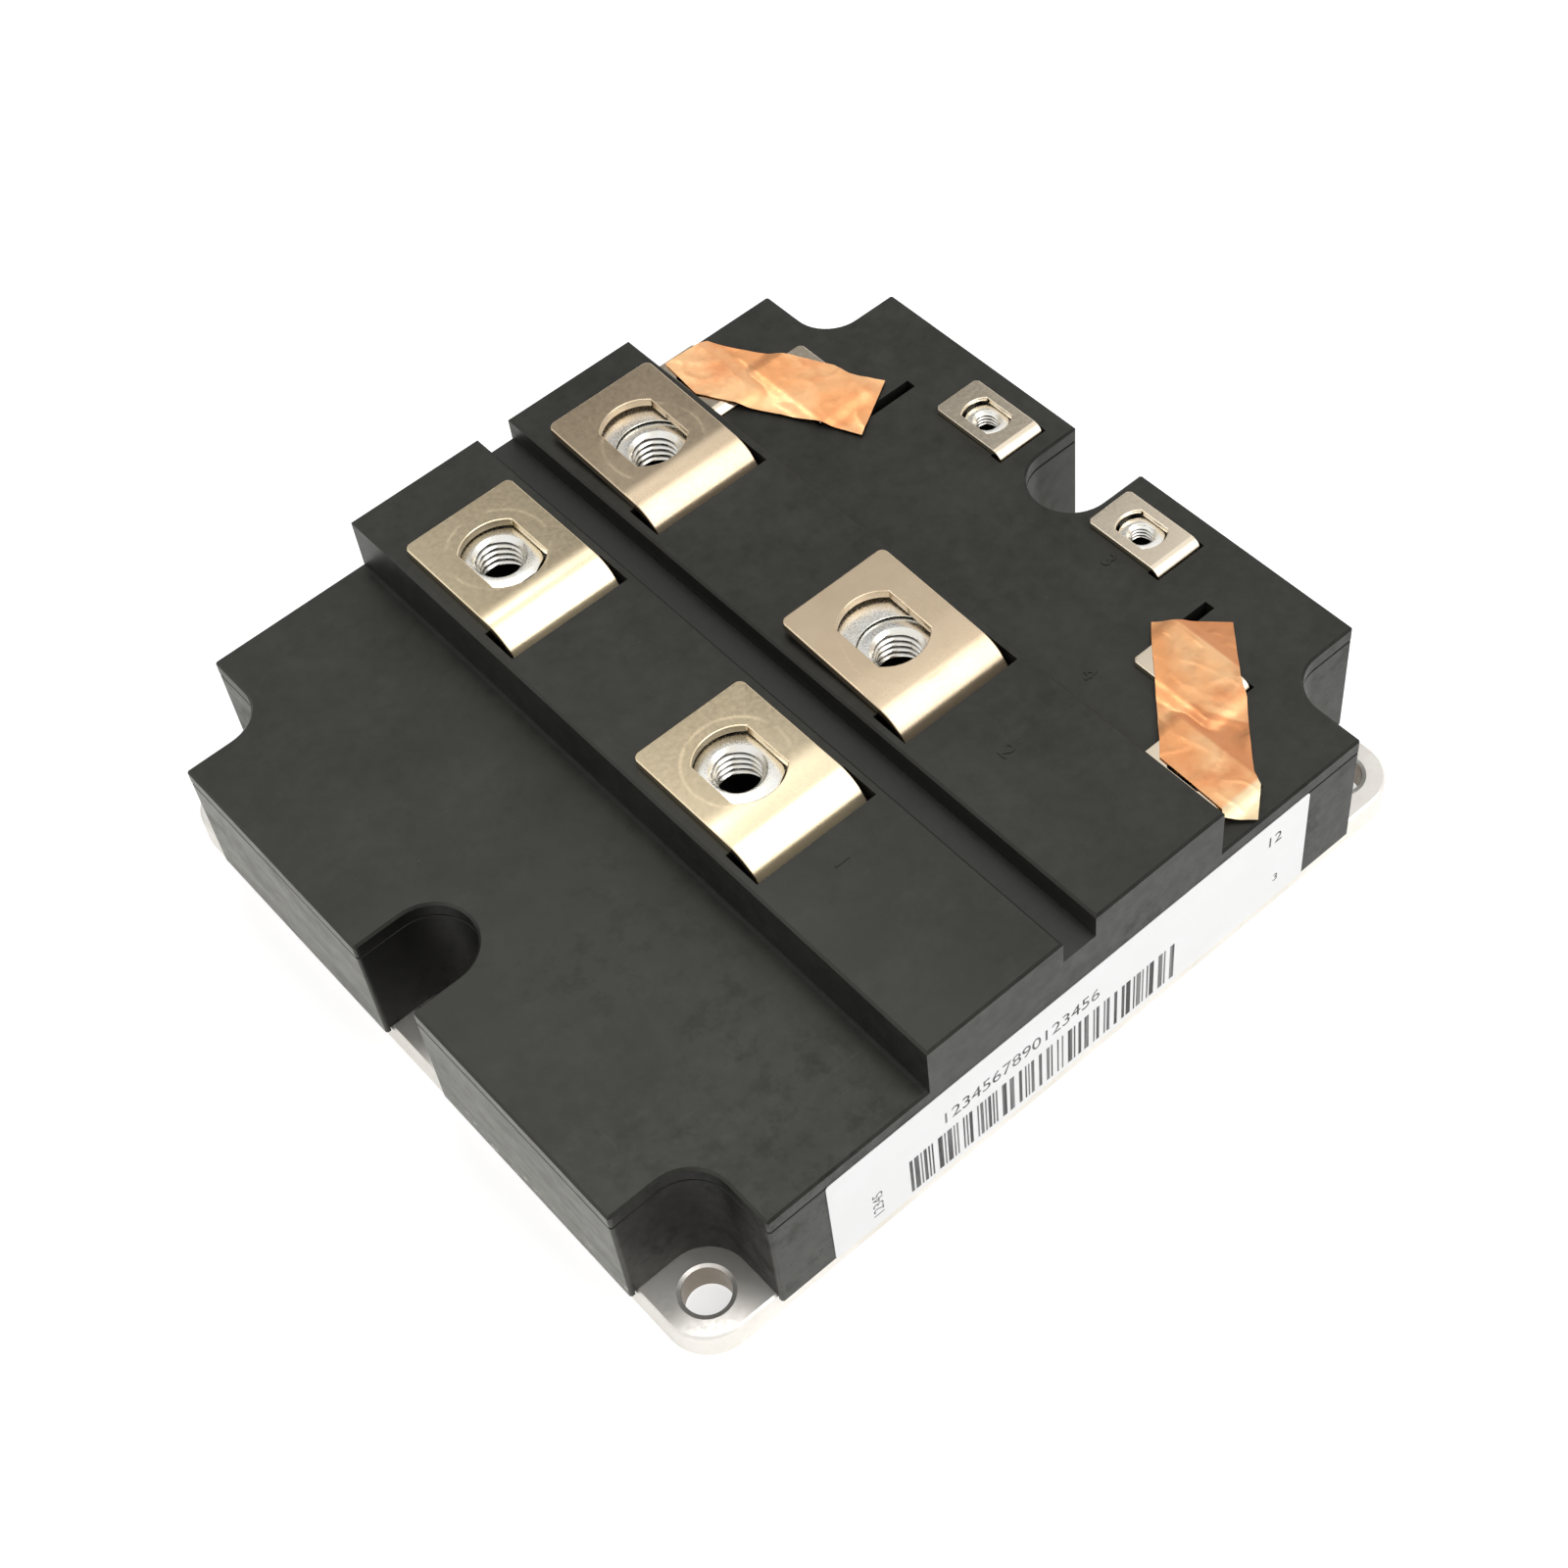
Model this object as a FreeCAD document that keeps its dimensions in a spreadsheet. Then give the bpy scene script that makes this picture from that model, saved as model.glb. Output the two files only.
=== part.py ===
import FreeCAD, Part
import Sketcher
import math
import os

# Power transistor module in a black moulded case on a metal base plate.
# Millimetres, +Z up, origin at the bottom centre of the base plate.
# X runs across the two ribs, Y runs along them, and the label is on the -Y wall.

SIZES = {
    # Base plate and its six fixing holes
    "body_length": 140.0,
    "body_width": 130.0,
    "plate_inset": 1.0,
    "plate_thickness": 5.0,
    "plate_corner_radius": 7.0,
    "plate_edge_chamfer": 0.35,
    "fixing_edge_distance": 8.0,
    "fixing_hole": 7.0,
    # Moulded case: walls, notches round the fixing holes, lid
    "wall": 2.5,
    "skirt_drop": 0.8,
    "skirt_gap": 0.15,
    "seam_height": 24.0,
    "lid_thickness": 3.0,
    "corner_notch_radius": 6.6,
    "middle_notch_radius": 7.0,
    "corner_chamfer": 0.3,
    "edge_chamfer": 0.4,
    "seam_chamfer": 0.4,
    "rim_gap": 0.15,
    "rim_thickness": 1.2,
    "rim_depth": 2.0,
    # Ribs and the groove between them
    "rib_width": 24.3,
    "rib_height": 9.5,
    "rib_wall": 2.5,
    "rib_roof": 3.0,
    "groove_width": 6.0,
    "groove_depth": 4.5,
    # Main terminals: tongue, bend, leg and foot
    "tongue_width": 20.0,
    "tongue_length": 28.0,
    "tongue_thickness": 1.5,
    "tongue_corner": 1.2,
    "tongue_hole_flats": 10.1,
    "tongue_hole_length": 13.5,
    "tongue_hole_place": 16.3,
    "bend_radius": 6.5,
    "leg_width": 10.0,
    "foot_length": 7.0,
    "left_leg_distance": 35.3,
    "right_leg_distance": 39.0,
    "left_end_distance": 11.5,
    "right_end_distance": 7.8,
    "left_lift": 0.0,
    "right_lift": 3.2,
    "slot_side_gap": 0.8,
    "slot_gap": 0.2,
    # Captive nuts of the main terminals
    "power_nut_flats": 13.0,
    "power_nut_height": 6.5,
    "power_nut_bore": 6.8,
    "power_nut_sink": 0.2,
    "near_nut_distance": 52.2,
    "far_nut_distance": 22.0,
    "power_screw_depth": 16.0,
    "power_screw_hole": 9.0,
    "nut_gap": 0.15,
    "nut_boss_wall": 1.6,
    # Small terminals on the low deck
    "small_width": 9.0,
    "small_length": 15.4,
    "small_thickness": 1.0,
    "small_corner": 0.6,
    "small_bend_radius": 2.0,
    "small_leg_width": 5.0,
    "small_hole_flats": 5.4,
    "small_hole_length": 7.8,
    "small_hole_place": 8.3,
    "small_slot_side_gap": 0.4,
    "rib_to_terminal": 7.4,
    "edge_to_terminal": 8.7,
    "mid_deck_share": 0.455,
    "far_end_gap": 0.7,
    "near_leg_gap": 3.9,
    "notch_leg_gap": 0.5,
    "notch_end_gap": 1.7,
    "far_terminal_step": 12.7,
    "near_terminal_step": 13.1,
    "spare_slot_offset": 7.55,
    "spare_slot_y": 32.8,
    "spare_slot_length": 9.3,
    "spare_slot_width": 1.8,
    # Captive nuts of the small terminals
    "small_nut_flats": 7.0,
    "small_nut_height": 3.2,
    "small_nut_bore": 3.3,
    "small_nut_sink": 0.1,
    "small_screw_depth": 8.0,
    "small_screw_hole": 4.5,
    "small_boss_wall": 0.8,
    # Ceramic tiles, chips and bond ribbons on the base plate
    "tile_side_gap": 1.5,
    "tile_end_gap": 11.0,
    "tile_thickness": 1.0,
    "tile_gap_x": 6.0,
    "tile_gap_y": 8.0,
    "track_thickness": 0.4,
    "track_margin": 1.0,
    "track_gap": 0.6,
    "power_track_width": 18.5,
    "gate_track_width": 1.4,
    "chip_thickness": 0.4,
    "chip_gap": 2.0,
    "chip_track_margin": 1.45,
    "chip_end_gap": 5.0,
    "chip_row_gap": 5.0,
    "diode_difference": 1.6,
    "ribbon_width": 3.0,
    "ribbon_thickness": 0.4,
    "ribbon_rise": 2.2,
    "ribbon_foot": 1.2,
    # Signal board, its pins and the gel that covers the chips
    "board_height": 10.6,
    "board_thickness": 1.6,
    "board_gap": 0.6,
    "pin_side": 1.0,
    "gel_depth": 9.0,
    # Label and foil strips
    "label_length": 91.0,
    "label_height": 20.0,
    "label_thickness": 0.15,
    "label_corner": 0.6,
    "label_shift": -0.4,
    "label_bottom": 4.3,
    "foil_thickness": 0.2,
    "foil_gap": 0.1,
}


class Size:
    """A length or angle together with the sheet expression that it comes from."""

    def __init__(self, value, text=None):
        self.value = float(value)
        self.text = text if text is not None else "(%r)" % float(value)

    def join(self, other, sign, value):
        return Size(value, "(%s %s %s)" % (self.text, sign, size_of(other).text))

    def __add__(self, other):
        return self.join(other, "+", self.value + size_of(other).value)

    def __sub__(self, other):
        return self.join(other, "-", self.value - size_of(other).value)

    def __mul__(self, other):
        return self.join(other, "*", self.value * size_of(other).value)

    def __truediv__(self, other):
        return self.join(other, "/", self.value / size_of(other).value)

    def __neg__(self):
        return self * -1

    __radd__ = __add__
    __rmul__ = __mul__


def size_of(number):
    return number if isinstance(number, Size) else Size(number)


def sine(angle):
    return Size(math.sin(math.radians(angle.value)), "sin(%s)" % angle.text)


def cosine(angle):
    return Size(math.cos(math.radians(angle.value)), "cos(%s)" % angle.text)


def fill_sheet(doc):
    """Put every driving size in the sheet under its own name, and return them by name."""
    sheet = doc.addObject("Spreadsheet::Sheet", "sizes")
    sizes = {}
    for row, (name, value) in enumerate(SIZES.items(), start=1):
        sheet.set("A%d" % row, name)
        sheet.set("B%d" % row, str(value))
        sheet.setAlias("B%d" % row, name)
        sizes[name] = Size(value, "sizes.%s" % name)
    return type("Sizes", (), sizes)


doc = FreeCAD.newDocument("power_module")
S = fill_sheet(doc)
doc.recompute()

ZERO = Size(0)
LEFT, RIGHT = -1, 1
PARTS = []

# Heights and places that several pieces share
half_length = S.body_length / 2
half_width = S.body_width / 2
hole_x = half_length - S.fixing_edge_distance
hole_y = half_width - S.fixing_edge_distance
deck_top = S.seam_height + S.lid_thickness
rib_top = deck_top + S.rib_height
rib_center = S.groove_width / 2 + S.rib_width / 2
rib_edge = S.groove_width / 2 + S.rib_width
tongue_top = rib_top + S.tongue_thickness
small_top = deck_top + S.small_thickness
tile_top = S.plate_thickness + S.tile_thickness
track_top = tile_top + S.track_thickness
chip_top = track_top + S.chip_thickness
board_bottom = S.plate_thickness + S.board_height
board_top = board_bottom + S.board_thickness
rim_inset = S.wall + S.rim_gap
boss_length = S.power_nut_flats + 2 * (S.nut_gap + S.nut_boss_wall)
slot_bottom = rib_top - S.rib_roof - S.tongue_thickness
tile_length = (hole_x - S.middle_notch_radius - S.wall - S.tile_side_gap) - S.tile_gap_x / 2
tile_width = half_width - S.tile_end_gap - S.tile_gap_y / 2

# Small terminals from the far wall to the label wall, each by the middle of its hole
near_rib_x = rib_edge + S.rib_to_terminal
near_edge_x = half_length - S.edge_to_terminal
mid_deck_x = near_rib_x + (near_edge_x - near_rib_x) * S.mid_deck_share
hole_to_end = S.small_length - S.small_hole_place
far_y = half_width - S.far_end_gap - hole_to_end
near_y = -half_width + S.near_leg_gap + S.small_hole_place
SMALL_TERMINALS = (
    (near_rib_x, far_y),
    (mid_deck_x, far_y - S.far_terminal_step),
    (near_edge_x, S.middle_notch_radius + S.wall + S.notch_leg_gap + S.small_hole_place),
    (near_edge_x, -(S.middle_notch_radius + S.notch_end_gap + hole_to_end)),
    (mid_deck_x, near_y + S.near_terminal_step),
    (near_rib_x, near_y),
)


def bind(item, **sizes):
    """Tie properties of an object to sheet expressions."""
    for name, size in sizes.items():
        item.setExpression(name, size_of(size).text)


def place(item, x=ZERO, y=ZERO, z=ZERO):
    for axis, size in (("x", x), ("y", y), ("z", z)):
        item.setExpression("Placement.Base.%s" % axis, size_of(size).text)
    return item


def keep(item, label):
    """Mark an object as a finished sub-part with its own name."""
    item.Label = label
    PARTS.append(item)
    return item


def new_body(name):
    return doc.addObject("PartDesign::Body", name)


def add_sketch(body, name, height=ZERO, plane="XY_Plane"):
    sketch = body.newObject("Sketcher::SketchObject", name)
    support = [part for part in body.Origin.OriginFeatures if part.Role == plane]
    sketch.AttachmentSupport = [(support[0], "")]
    sketch.MapMode = "FlatFace"
    sketch.setExpression("AttachmentOffset.Base.z", size_of(height).text)
    return sketch


def hold_point(sketch, geometry, point, x, y):
    """Fix one point of a sketch at x, y by two dimensions tied to the sheet."""
    for kind, letter, axis, size in (("DistanceX", "x", -2, x), ("DistanceY", "y", -1, y)):
        size = size_of(size)
        if abs(size.value) < 1e-9:
            sketch.addConstraint(Sketcher.Constraint("PointOnObject", geometry, point, axis))
            continue
        index = sketch.addConstraint(Sketcher.Constraint(kind, -1, 1, geometry, point, size.value))
        name = "%s%d" % (letter, geometry)
        sketch.renameConstraint(index, name)
        sketch.setExpression("Constraints.%s" % name, size.text)


def hold_size(sketch, kind, geometry, size):
    index = sketch.addConstraint(Sketcher.Constraint(kind, geometry, size.value))
    name = "size%d" % geometry
    sketch.renameConstraint(index, name)
    sketch.setExpression("Constraints.%s" % name, size.text)


def draw_outline(sketch, corners):
    """Draw a closed outline. A corner is (x, y), or (x, y, radius, centre x, centre y, turn)
    where an arc leads on to the next corner: turn is 1 anticlockwise and -1 clockwise."""
    first = sketch.GeometryCount
    ends = []
    for index, corner in enumerate(corners):
        after = corners[(index + 1) % len(corners)]
        start = FreeCAD.Vector(size_of(corner[0]).value, size_of(corner[1]).value, 0)
        end = FreeCAD.Vector(size_of(after[0]).value, size_of(after[1]).value, 0)
        if len(corner) == 2:
            sketch.addGeometry(Part.LineSegment(start, end))
            ends.append((1, 2))
            continue
        radius, middle_x, middle_y, turn = corner[2:]
        middle = FreeCAD.Vector(size_of(middle_x).value, size_of(middle_y).value, 0)
        low, high = (start, end) if turn > 0 else (end, start)
        low_angle = math.atan2(low.y - middle.y, low.x - middle.x)
        high_angle = math.atan2(high.y - middle.y, high.x - middle.x)
        circle = Part.Circle(middle, FreeCAD.Vector(0, 0, 1), radius.value)
        sketch.addGeometry(Part.ArcOfCircle(circle, low_angle, high_angle))
        ends.append((1, 2) if turn > 0 else (2, 1))
    for index, corner in enumerate(corners):
        here, after = first + index, first + (index + 1) % len(corners)
        sketch.addConstraint(Sketcher.Constraint(
            "Coincident", here, ends[index][1], after, ends[(index + 1) % len(corners)][0]))
        hold_point(sketch, here, ends[index][0], corner[0], corner[1])
        if len(corner) > 2:
            hold_size(sketch, "Radius", here, corner[2])


def draw_rectangle(sketch, low_x, low_y, high_x, high_y):
    draw_outline(sketch, [(low_x, low_y), (high_x, low_y), (high_x, high_y), (low_x, high_y)])


def draw_block(sketch, x, y, length, width):
    """A rectangle round its centre."""
    draw_rectangle(sketch, x - length / 2, y - width / 2, x + length / 2, y + width / 2)


def draw_rounded_block(sketch, x, y, length, width, radius):
    corners = []
    for sign_x, sign_y in ((-1, -1), (1, -1), (1, 1), (-1, 1)):
        edge_x, edge_y = x + length / 2 * sign_x, y + width / 2 * sign_y
        middle_x, middle_y = edge_x - radius * sign_x, edge_y - radius * sign_y
        on_side, on_end = (edge_x, middle_y), (middle_x, edge_y)
        start, end = (on_side, on_end) if sign_x == sign_y else (on_end, on_side)
        corners += [start + (radius, middle_x, middle_y, 1), end]
    draw_outline(sketch, corners)


def draw_circle(sketch, x, y, diameter):
    middle = FreeCAD.Vector(size_of(x).value, size_of(y).value, 0)
    index = sketch.addGeometry(Part.Circle(middle, FreeCAD.Vector(0, 0, 1), diameter.value / 2))
    hold_point(sketch, index, 3, x, y)
    hold_size(sketch, "Diameter", index, diameter)


def draw_hexagon(sketch, x, y, flats):
    """A hexagon with two corners along X, so that two flats face along Y."""
    corner = flats / math.sqrt(3)
    draw_outline(sketch, [(x + corner * along, y + flats / 2 * across) for along, across in
                          ((1, 0), (0.5, 1), (-0.5, 1), (-1, 0), (-0.5, -1), (0.5, -1))])


def draw_two_flat_hole(sketch, y, flats, length):
    """A long hole with two flats along Y and round ends of half its length."""
    radius = length / 2
    reach = math.sqrt(radius.value ** 2 - flats.value ** 2 / 4)
    rise = Size(reach, "sqrt(%s * %s - %s * %s / 4)" % (
        radius.text, radius.text, flats.text, flats.text))
    side = flats / 2
    draw_outline(sketch, [
        (side, y - rise), (side, y + rise, radius, ZERO, y, 1),
        (-side, y + rise), (-side, y - rise, radius, ZERO, y, 1)])


def draw_notched_outline(sketch, inset):
    """The case seen from above: a rectangle with a notch round each of the six fixing holes.
    The inset moves it inwards all round, so that the walls follow the notches."""
    edge_x, edge_y = half_length - inset, half_width - inset
    corner, middle = S.corner_notch_radius + inset, S.middle_notch_radius + inset

    def side_notch(side):
        inner = hole_x - middle
        return [
            (edge_x * side, -middle * side),
            (hole_x * side, -middle * side, middle, hole_x * side, ZERO, -1),
            (inner * side, ZERO, middle, hole_x * side, ZERO, -1),
            (hole_x * side, middle * side),
            (edge_x * side, middle * side)]

    def corner_notch(sign_x, sign_y):
        along = (edge_x * sign_x, (hole_y - corner) * sign_y)
        low = (hole_x * sign_x, (hole_y - corner) * sign_y)
        high = ((hole_x - corner) * sign_x, hole_y * sign_y)
        across = ((hole_x - corner) * sign_x, edge_y * sign_y)
        arc = (corner, hole_x * sign_x, hole_y * sign_y, -1)
        if sign_x == sign_y:
            return [along, low + arc, high, across]
        return [across, high + arc, low, along]

    draw_outline(sketch, side_notch(RIGHT) + corner_notch(1, 1) + corner_notch(-1, 1)
                 + side_notch(LEFT) + corner_notch(-1, -1) + corner_notch(1, -1))


def pad(body, name, sketch, length, reach="One side", downward=False):
    feature = body.newObject("PartDesign::Pad", name)
    feature.Profile = sketch
    feature.SideType = reach
    feature.Reversed = downward
    bind(feature, Length=length)
    doc.recompute()
    return feature


def pocket(body, name, sketch, depth, upward=False, reach="One side"):
    before = body.Shape.Volume
    feature = body.newObject("PartDesign::Pocket", name)
    feature.Profile = sketch
    feature.SideType = reach
    feature.Reversed = upward
    bind(feature, Length=depth)
    doc.recompute()
    if not body.Shape.Volume < before:
        raise RuntimeError("%s cuts nothing" % name)
    return feature


def dress_edges(body, kind, name, wanted, size):
    """Round or chamfer the edges of the body's last feature that a test picks."""
    base = body.Tip
    names = ["Edge%d" % (index + 1) for index, edge in enumerate(base.Shape.Edges) if wanted(edge)]
    feature = body.newObject("PartDesign::" + kind, name)
    feature.Base = (base, names)
    bind(feature, **{"Radius" if kind == "Fillet" else "Size": size})
    doc.recompute()
    return feature


def at_height(edge, height):
    box = edge.BoundBox
    return abs(box.ZMin - height.value) < 1e-4 and abs(box.ZMax - height.value) < 1e-4


def is_upright(edge):
    box = edge.BoundBox
    return box.ZLength > 1e-3 and box.XLength < 1e-4 and box.YLength < 1e-4


def is_case_corner(edge):
    """Upright edges where a notch runs out through an outer wall."""
    middle = edge.CenterOfMass
    on_long_wall = abs(abs(middle.y) - half_width.value) < 1e-3
    on_short_wall = abs(abs(middle.x) - half_length.value) < 1e-3
    by_corner_hole = abs(abs(middle.x) - (hole_x - S.corner_notch_radius).value) < 1e-3
    return is_upright(edge) and (on_short_wall or (on_long_wall and by_corner_hole))


def fixing_holes():
    return [(hole_x * side, hole_y * row) for side in (LEFT, RIGHT) for row in (-1, 0, 1)]


def make_base_plate():
    body = new_body("base_plate")
    outline = add_sketch(body, "plate_outline")
    plate_length = S.body_length - 2 * S.plate_inset
    plate_width = S.body_width - 2 * S.plate_inset
    draw_rounded_block(outline, ZERO, ZERO, plate_length, plate_width, S.plate_corner_radius)
    pad(body, "plate", outline, S.plate_thickness)
    holes = add_sketch(body, "fixing_hole_circles", S.plate_thickness)
    for x, y in fixing_holes():
        draw_circle(holes, x, y, S.fixing_hole)
    pocket(body, "fixing_holes", holes, S.plate_thickness)
    dress_edges(body, "Chamfer", "plate_rim", lambda edge: at_height(edge, S.plate_thickness)
                and len(edge.Vertexes) == 2, S.plate_edge_chamfer)
    keep(body, "base_plate")


def make_housing_frame():
    """Four walls that follow the notches, with a thin skirt down past the plate's edge."""
    body = new_body("housing_frame")
    bottom = S.plate_thickness - S.skirt_drop
    height = S.seam_height - bottom
    outside = add_sketch(body, "frame_outline", bottom)
    draw_notched_outline(outside, ZERO)
    pad(body, "frame_walls", outside, height)
    inside = add_sketch(body, "frame_inside", bottom)
    draw_notched_outline(inside, S.wall)
    pocket(body, "frame_hollow", inside, height, upward=True)
    seat = add_sketch(body, "plate_seat_outline", bottom)
    lip = S.plate_inset - S.skirt_gap
    draw_block(seat, ZERO, ZERO, S.body_length - 2 * lip, S.body_width - 2 * lip)
    pocket(body, "plate_seat", seat, S.skirt_drop, upward=True)
    dress_edges(body, "Chamfer", "frame_corners", is_case_corner, S.corner_chamfer)
    keep(body, "housing_frame")


def bend_places():
    """Where each main terminal comes up: its side, the front edge of its slot and its lift."""
    places = []
    for side, leg, end, lift in (
            (LEFT, S.left_leg_distance, S.left_end_distance, S.left_lift),
            (RIGHT, S.right_leg_distance, S.right_end_distance, S.right_lift)):
        places.append((side, half_width - end - S.tongue_length, lift))
        places.append((side, leg - half_width, lift))
    return places


def power_nut_places():
    return [(rib_center * side, y) for side in (LEFT, RIGHT)
            for y in (half_width - S.far_nut_distance, S.near_nut_distance - half_width)]


def small_boss_size():
    pocket_flats = S.small_nut_flats + 2 * S.nut_gap
    return (pocket_flats * (2 / math.sqrt(3)) + 2 * S.small_boss_wall,
            pocket_flats + 2 * S.small_boss_wall)


def add_lid_solids(body):
    """The lid plate, the raised block with its two ribs, and the strips that locate the lid."""
    outline = add_sketch(body, "lid_outline", S.seam_height)
    draw_notched_outline(outline, ZERO)
    pad(body, "lid_plate", outline, S.lid_thickness)
    dress_edges(body, "Chamfer", "lid_corners", is_case_corner, S.corner_chamfer)
    dress_edges(body, "Chamfer", "lid_edges", lambda edge: at_height(edge, deck_top), S.edge_chamfer)
    dress_edges(body, "Chamfer", "seam_edges", lambda edge: at_height(edge, S.seam_height),
                S.seam_chamfer)
    block = add_sketch(body, "block_outline", S.seam_height)
    block_length = 2 * S.rib_width + S.groove_width
    draw_block(block, ZERO, ZERO, block_length, S.body_width)
    pad(body, "raised_block", block, rib_top - S.seam_height)
    groove = add_sketch(body, "groove_outline", rib_top)
    draw_block(groove, ZERO, ZERO, S.groove_width, S.body_width)
    pocket(body, "groove", groove, S.groove_depth)
    dress_edges(body, "Chamfer", "rib_edges", lambda edge: at_height(edge, rib_top), S.edge_chamfer)
    rim = add_sketch(body, "rim_outline", S.seam_height)
    edge_x, edge_y = half_length - rim_inset, half_width - rim_inset
    clear = rim_inset + S.wall
    long_reach = hole_x - S.corner_notch_radius - clear
    short_start = S.middle_notch_radius + clear
    short_end = hole_y - S.corner_notch_radius - clear
    for side in (-1, 1):
        draw_block(rim, ZERO, (edge_y - S.rim_thickness / 2) * side,
                   2 * long_reach, S.rim_thickness)
        for row in (-1, 1):
            draw_block(rim, (edge_x - S.rim_thickness / 2) * side,
                       (short_start + short_end) / 2 * row,
                       S.rim_thickness, short_end - short_start)
    pad(body, "locating_rim", rim, S.rim_depth, downward=True)


def add_rib_hollows(body):
    """Hollows under the ribs, with a boss left standing round each captive nut."""
    hollow = add_sketch(body, "rib_hollow_outline", S.seam_height)
    hollow_length = S.rib_width - 2 * S.rib_wall
    hollow_width = S.body_width - 2 * (rim_inset + S.rim_thickness)
    for side in (LEFT, RIGHT):
        draw_block(hollow, rib_center * side, ZERO, hollow_length, hollow_width)
    pocket(body, "rib_hollows", hollow, S.rib_height + S.lid_thickness - S.rib_roof, upward=True)
    boss_foot = tongue_top - S.power_screw_depth - S.rib_wall
    bosses = add_sketch(body, "power_boss_outline", boss_foot)
    for x, y in power_nut_places():
        draw_block(bosses, x, y, hollow_length, boss_length)
    pad(body, "power_bosses", bosses, rib_top - S.rib_roof / 2 - boss_foot)
    small_foot = small_top - S.small_screw_depth - S.small_boss_wall
    small = add_sketch(body, "small_boss_outline", small_foot)
    length, width = small_boss_size()
    for x, y in SMALL_TERMINALS:
        draw_block(small, x, y, length, width)
    pad(body, "small_bosses", small, deck_top - S.lid_thickness / 2 - small_foot)


def add_nut_pockets(body, name, places, top, nut_flats, pocket_depth, screw_flats, screw_end):
    """A six-sided pocket for each nut, and a smaller one below it for the screw's end."""
    seats = add_sketch(body, name + "_seats", top)
    ends = add_sketch(body, name + "_screw_ends", top)
    for x, y in places:
        draw_hexagon(seats, x, y, nut_flats + 2 * S.nut_gap)
        draw_hexagon(ends, x, y, screw_flats)
    pocket(body, name + "_pockets", seats, pocket_depth)
    pocket(body, name + "_screw_pockets", ends, top - screw_end)


def add_lid_slots(body):
    """Slots that the terminals come up through, and two spare ones."""
    main = add_sketch(body, "main_slot_outline", rib_top)
    main_width = S.tongue_width + 2 * S.slot_side_gap
    for side, bend, lift in bend_places():
        draw_rectangle(main, rib_center * side - main_width / 2, bend,
                       rib_center * side + main_width / 2, bend + S.slot_gap + S.bend_radius)
    pocket(body, "main_slots", main, rib_top - slot_bottom)
    small = add_sketch(body, "small_slot_outline", deck_top)
    small_width = S.small_width + 2 * S.small_slot_side_gap
    for x, y in SMALL_TERMINALS:
        bend = y - S.small_hole_place
        draw_rectangle(small, x - small_width / 2, bend,
                       x + small_width / 2, bend + S.slot_gap + S.small_bend_radius)
    for row in (-1, 1):
        draw_block(small, near_edge_x - S.spare_slot_offset, S.spare_slot_y * row,
                   S.spare_slot_length, S.spare_slot_width)
    pocket(body, "small_slots", small, S.lid_thickness + S.rim_depth)


def make_housing_lid():
    body = new_body("housing_lid")
    add_lid_solids(body)
    add_rib_hollows(body)
    add_nut_pockets(body, "power", power_nut_places(), rib_top, S.power_nut_flats,
                    S.power_nut_height + S.power_nut_sink, S.power_screw_hole,
                    tongue_top - S.power_screw_depth)
    add_nut_pockets(body, "small", SMALL_TERMINALS, deck_top, S.small_nut_flats,
                    S.small_nut_height + S.small_nut_sink, S.small_screw_hole,
                    small_top - S.small_screw_depth)
    add_lid_slots(body)
    keep(body, "housing_lid")


def draw_bent_strip(sketch, top, reach, radius, thickness, lift, foot_bottom, foot):
    """Side view of a terminal, front edge at 0: a tongue that leaves the bend at the lift angle,
    a leg straight down, and a foot turned back under the tongue. A foot of 0 leaves a plain leg."""
    inner = radius - thickness
    rise, run = sine(lift), cosine(lift)
    centre_z = top - radius
    length = reach - radius

    def on_tongue(distance, along):
        return (radius - distance * rise + along * run, centre_z + distance * run + along * rise)

    corners = [
        on_tongue(inner, length), on_tongue(radius, length),
        on_tongue(radius, ZERO) + (radius, radius, centre_z, 1), (ZERO, centre_z)]
    corners += [(ZERO, foot_bottom)]
    if foot.value > 0:
        corners += [(foot, foot_bottom), (foot, foot_bottom + thickness),
                    (thickness, foot_bottom + thickness)]
    else:
        corners += [(thickness, foot_bottom)]
    corners += [(thickness, centre_z, inner, radius, centre_z, -1), on_tongue(inner, ZERO)]
    draw_outline(sketch, corners)


def cut_tongue(body, width, leg_width, leg_top, leg_bottom, hole_y, flats, length, top, depth):
    """Narrow the leg on both sides and cut the hole with two flats through the tongue."""
    sides = add_sketch(body, "leg_sides", plane="XZ_Plane")
    margin = Size(1)
    for side in (LEFT, RIGHT):
        draw_rectangle(sides, (leg_width / 2) * side, leg_bottom - margin,
                       (width / 2 + margin) * side, leg_top)
    pocket(body, "narrow_leg", sides, 4 * width, reach="Symmetric")
    hole = add_sketch(body, "tongue_hole_outline", top)
    draw_two_flat_hole(hole, hole_y, flats, length)
    pocket(body, "tongue_hole", hole, depth)


def dress_tongue_corners(body, kind, radius, tongue_end, top):
    def at_free_end(edge):
        middle, box = edge.CenterOfMass, edge.BoundBox
        return middle.y > tongue_end.value and middle.z > top.value and box.XLength < 1e-4
    dress_edges(body, kind, "tongue_corners", lambda edge: at_free_end(edge)
                and edge.BoundBox.ZLength > 0.5 * radius.value
                and edge.BoundBox.YLength < 0.5 * radius.value, radius)


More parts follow.
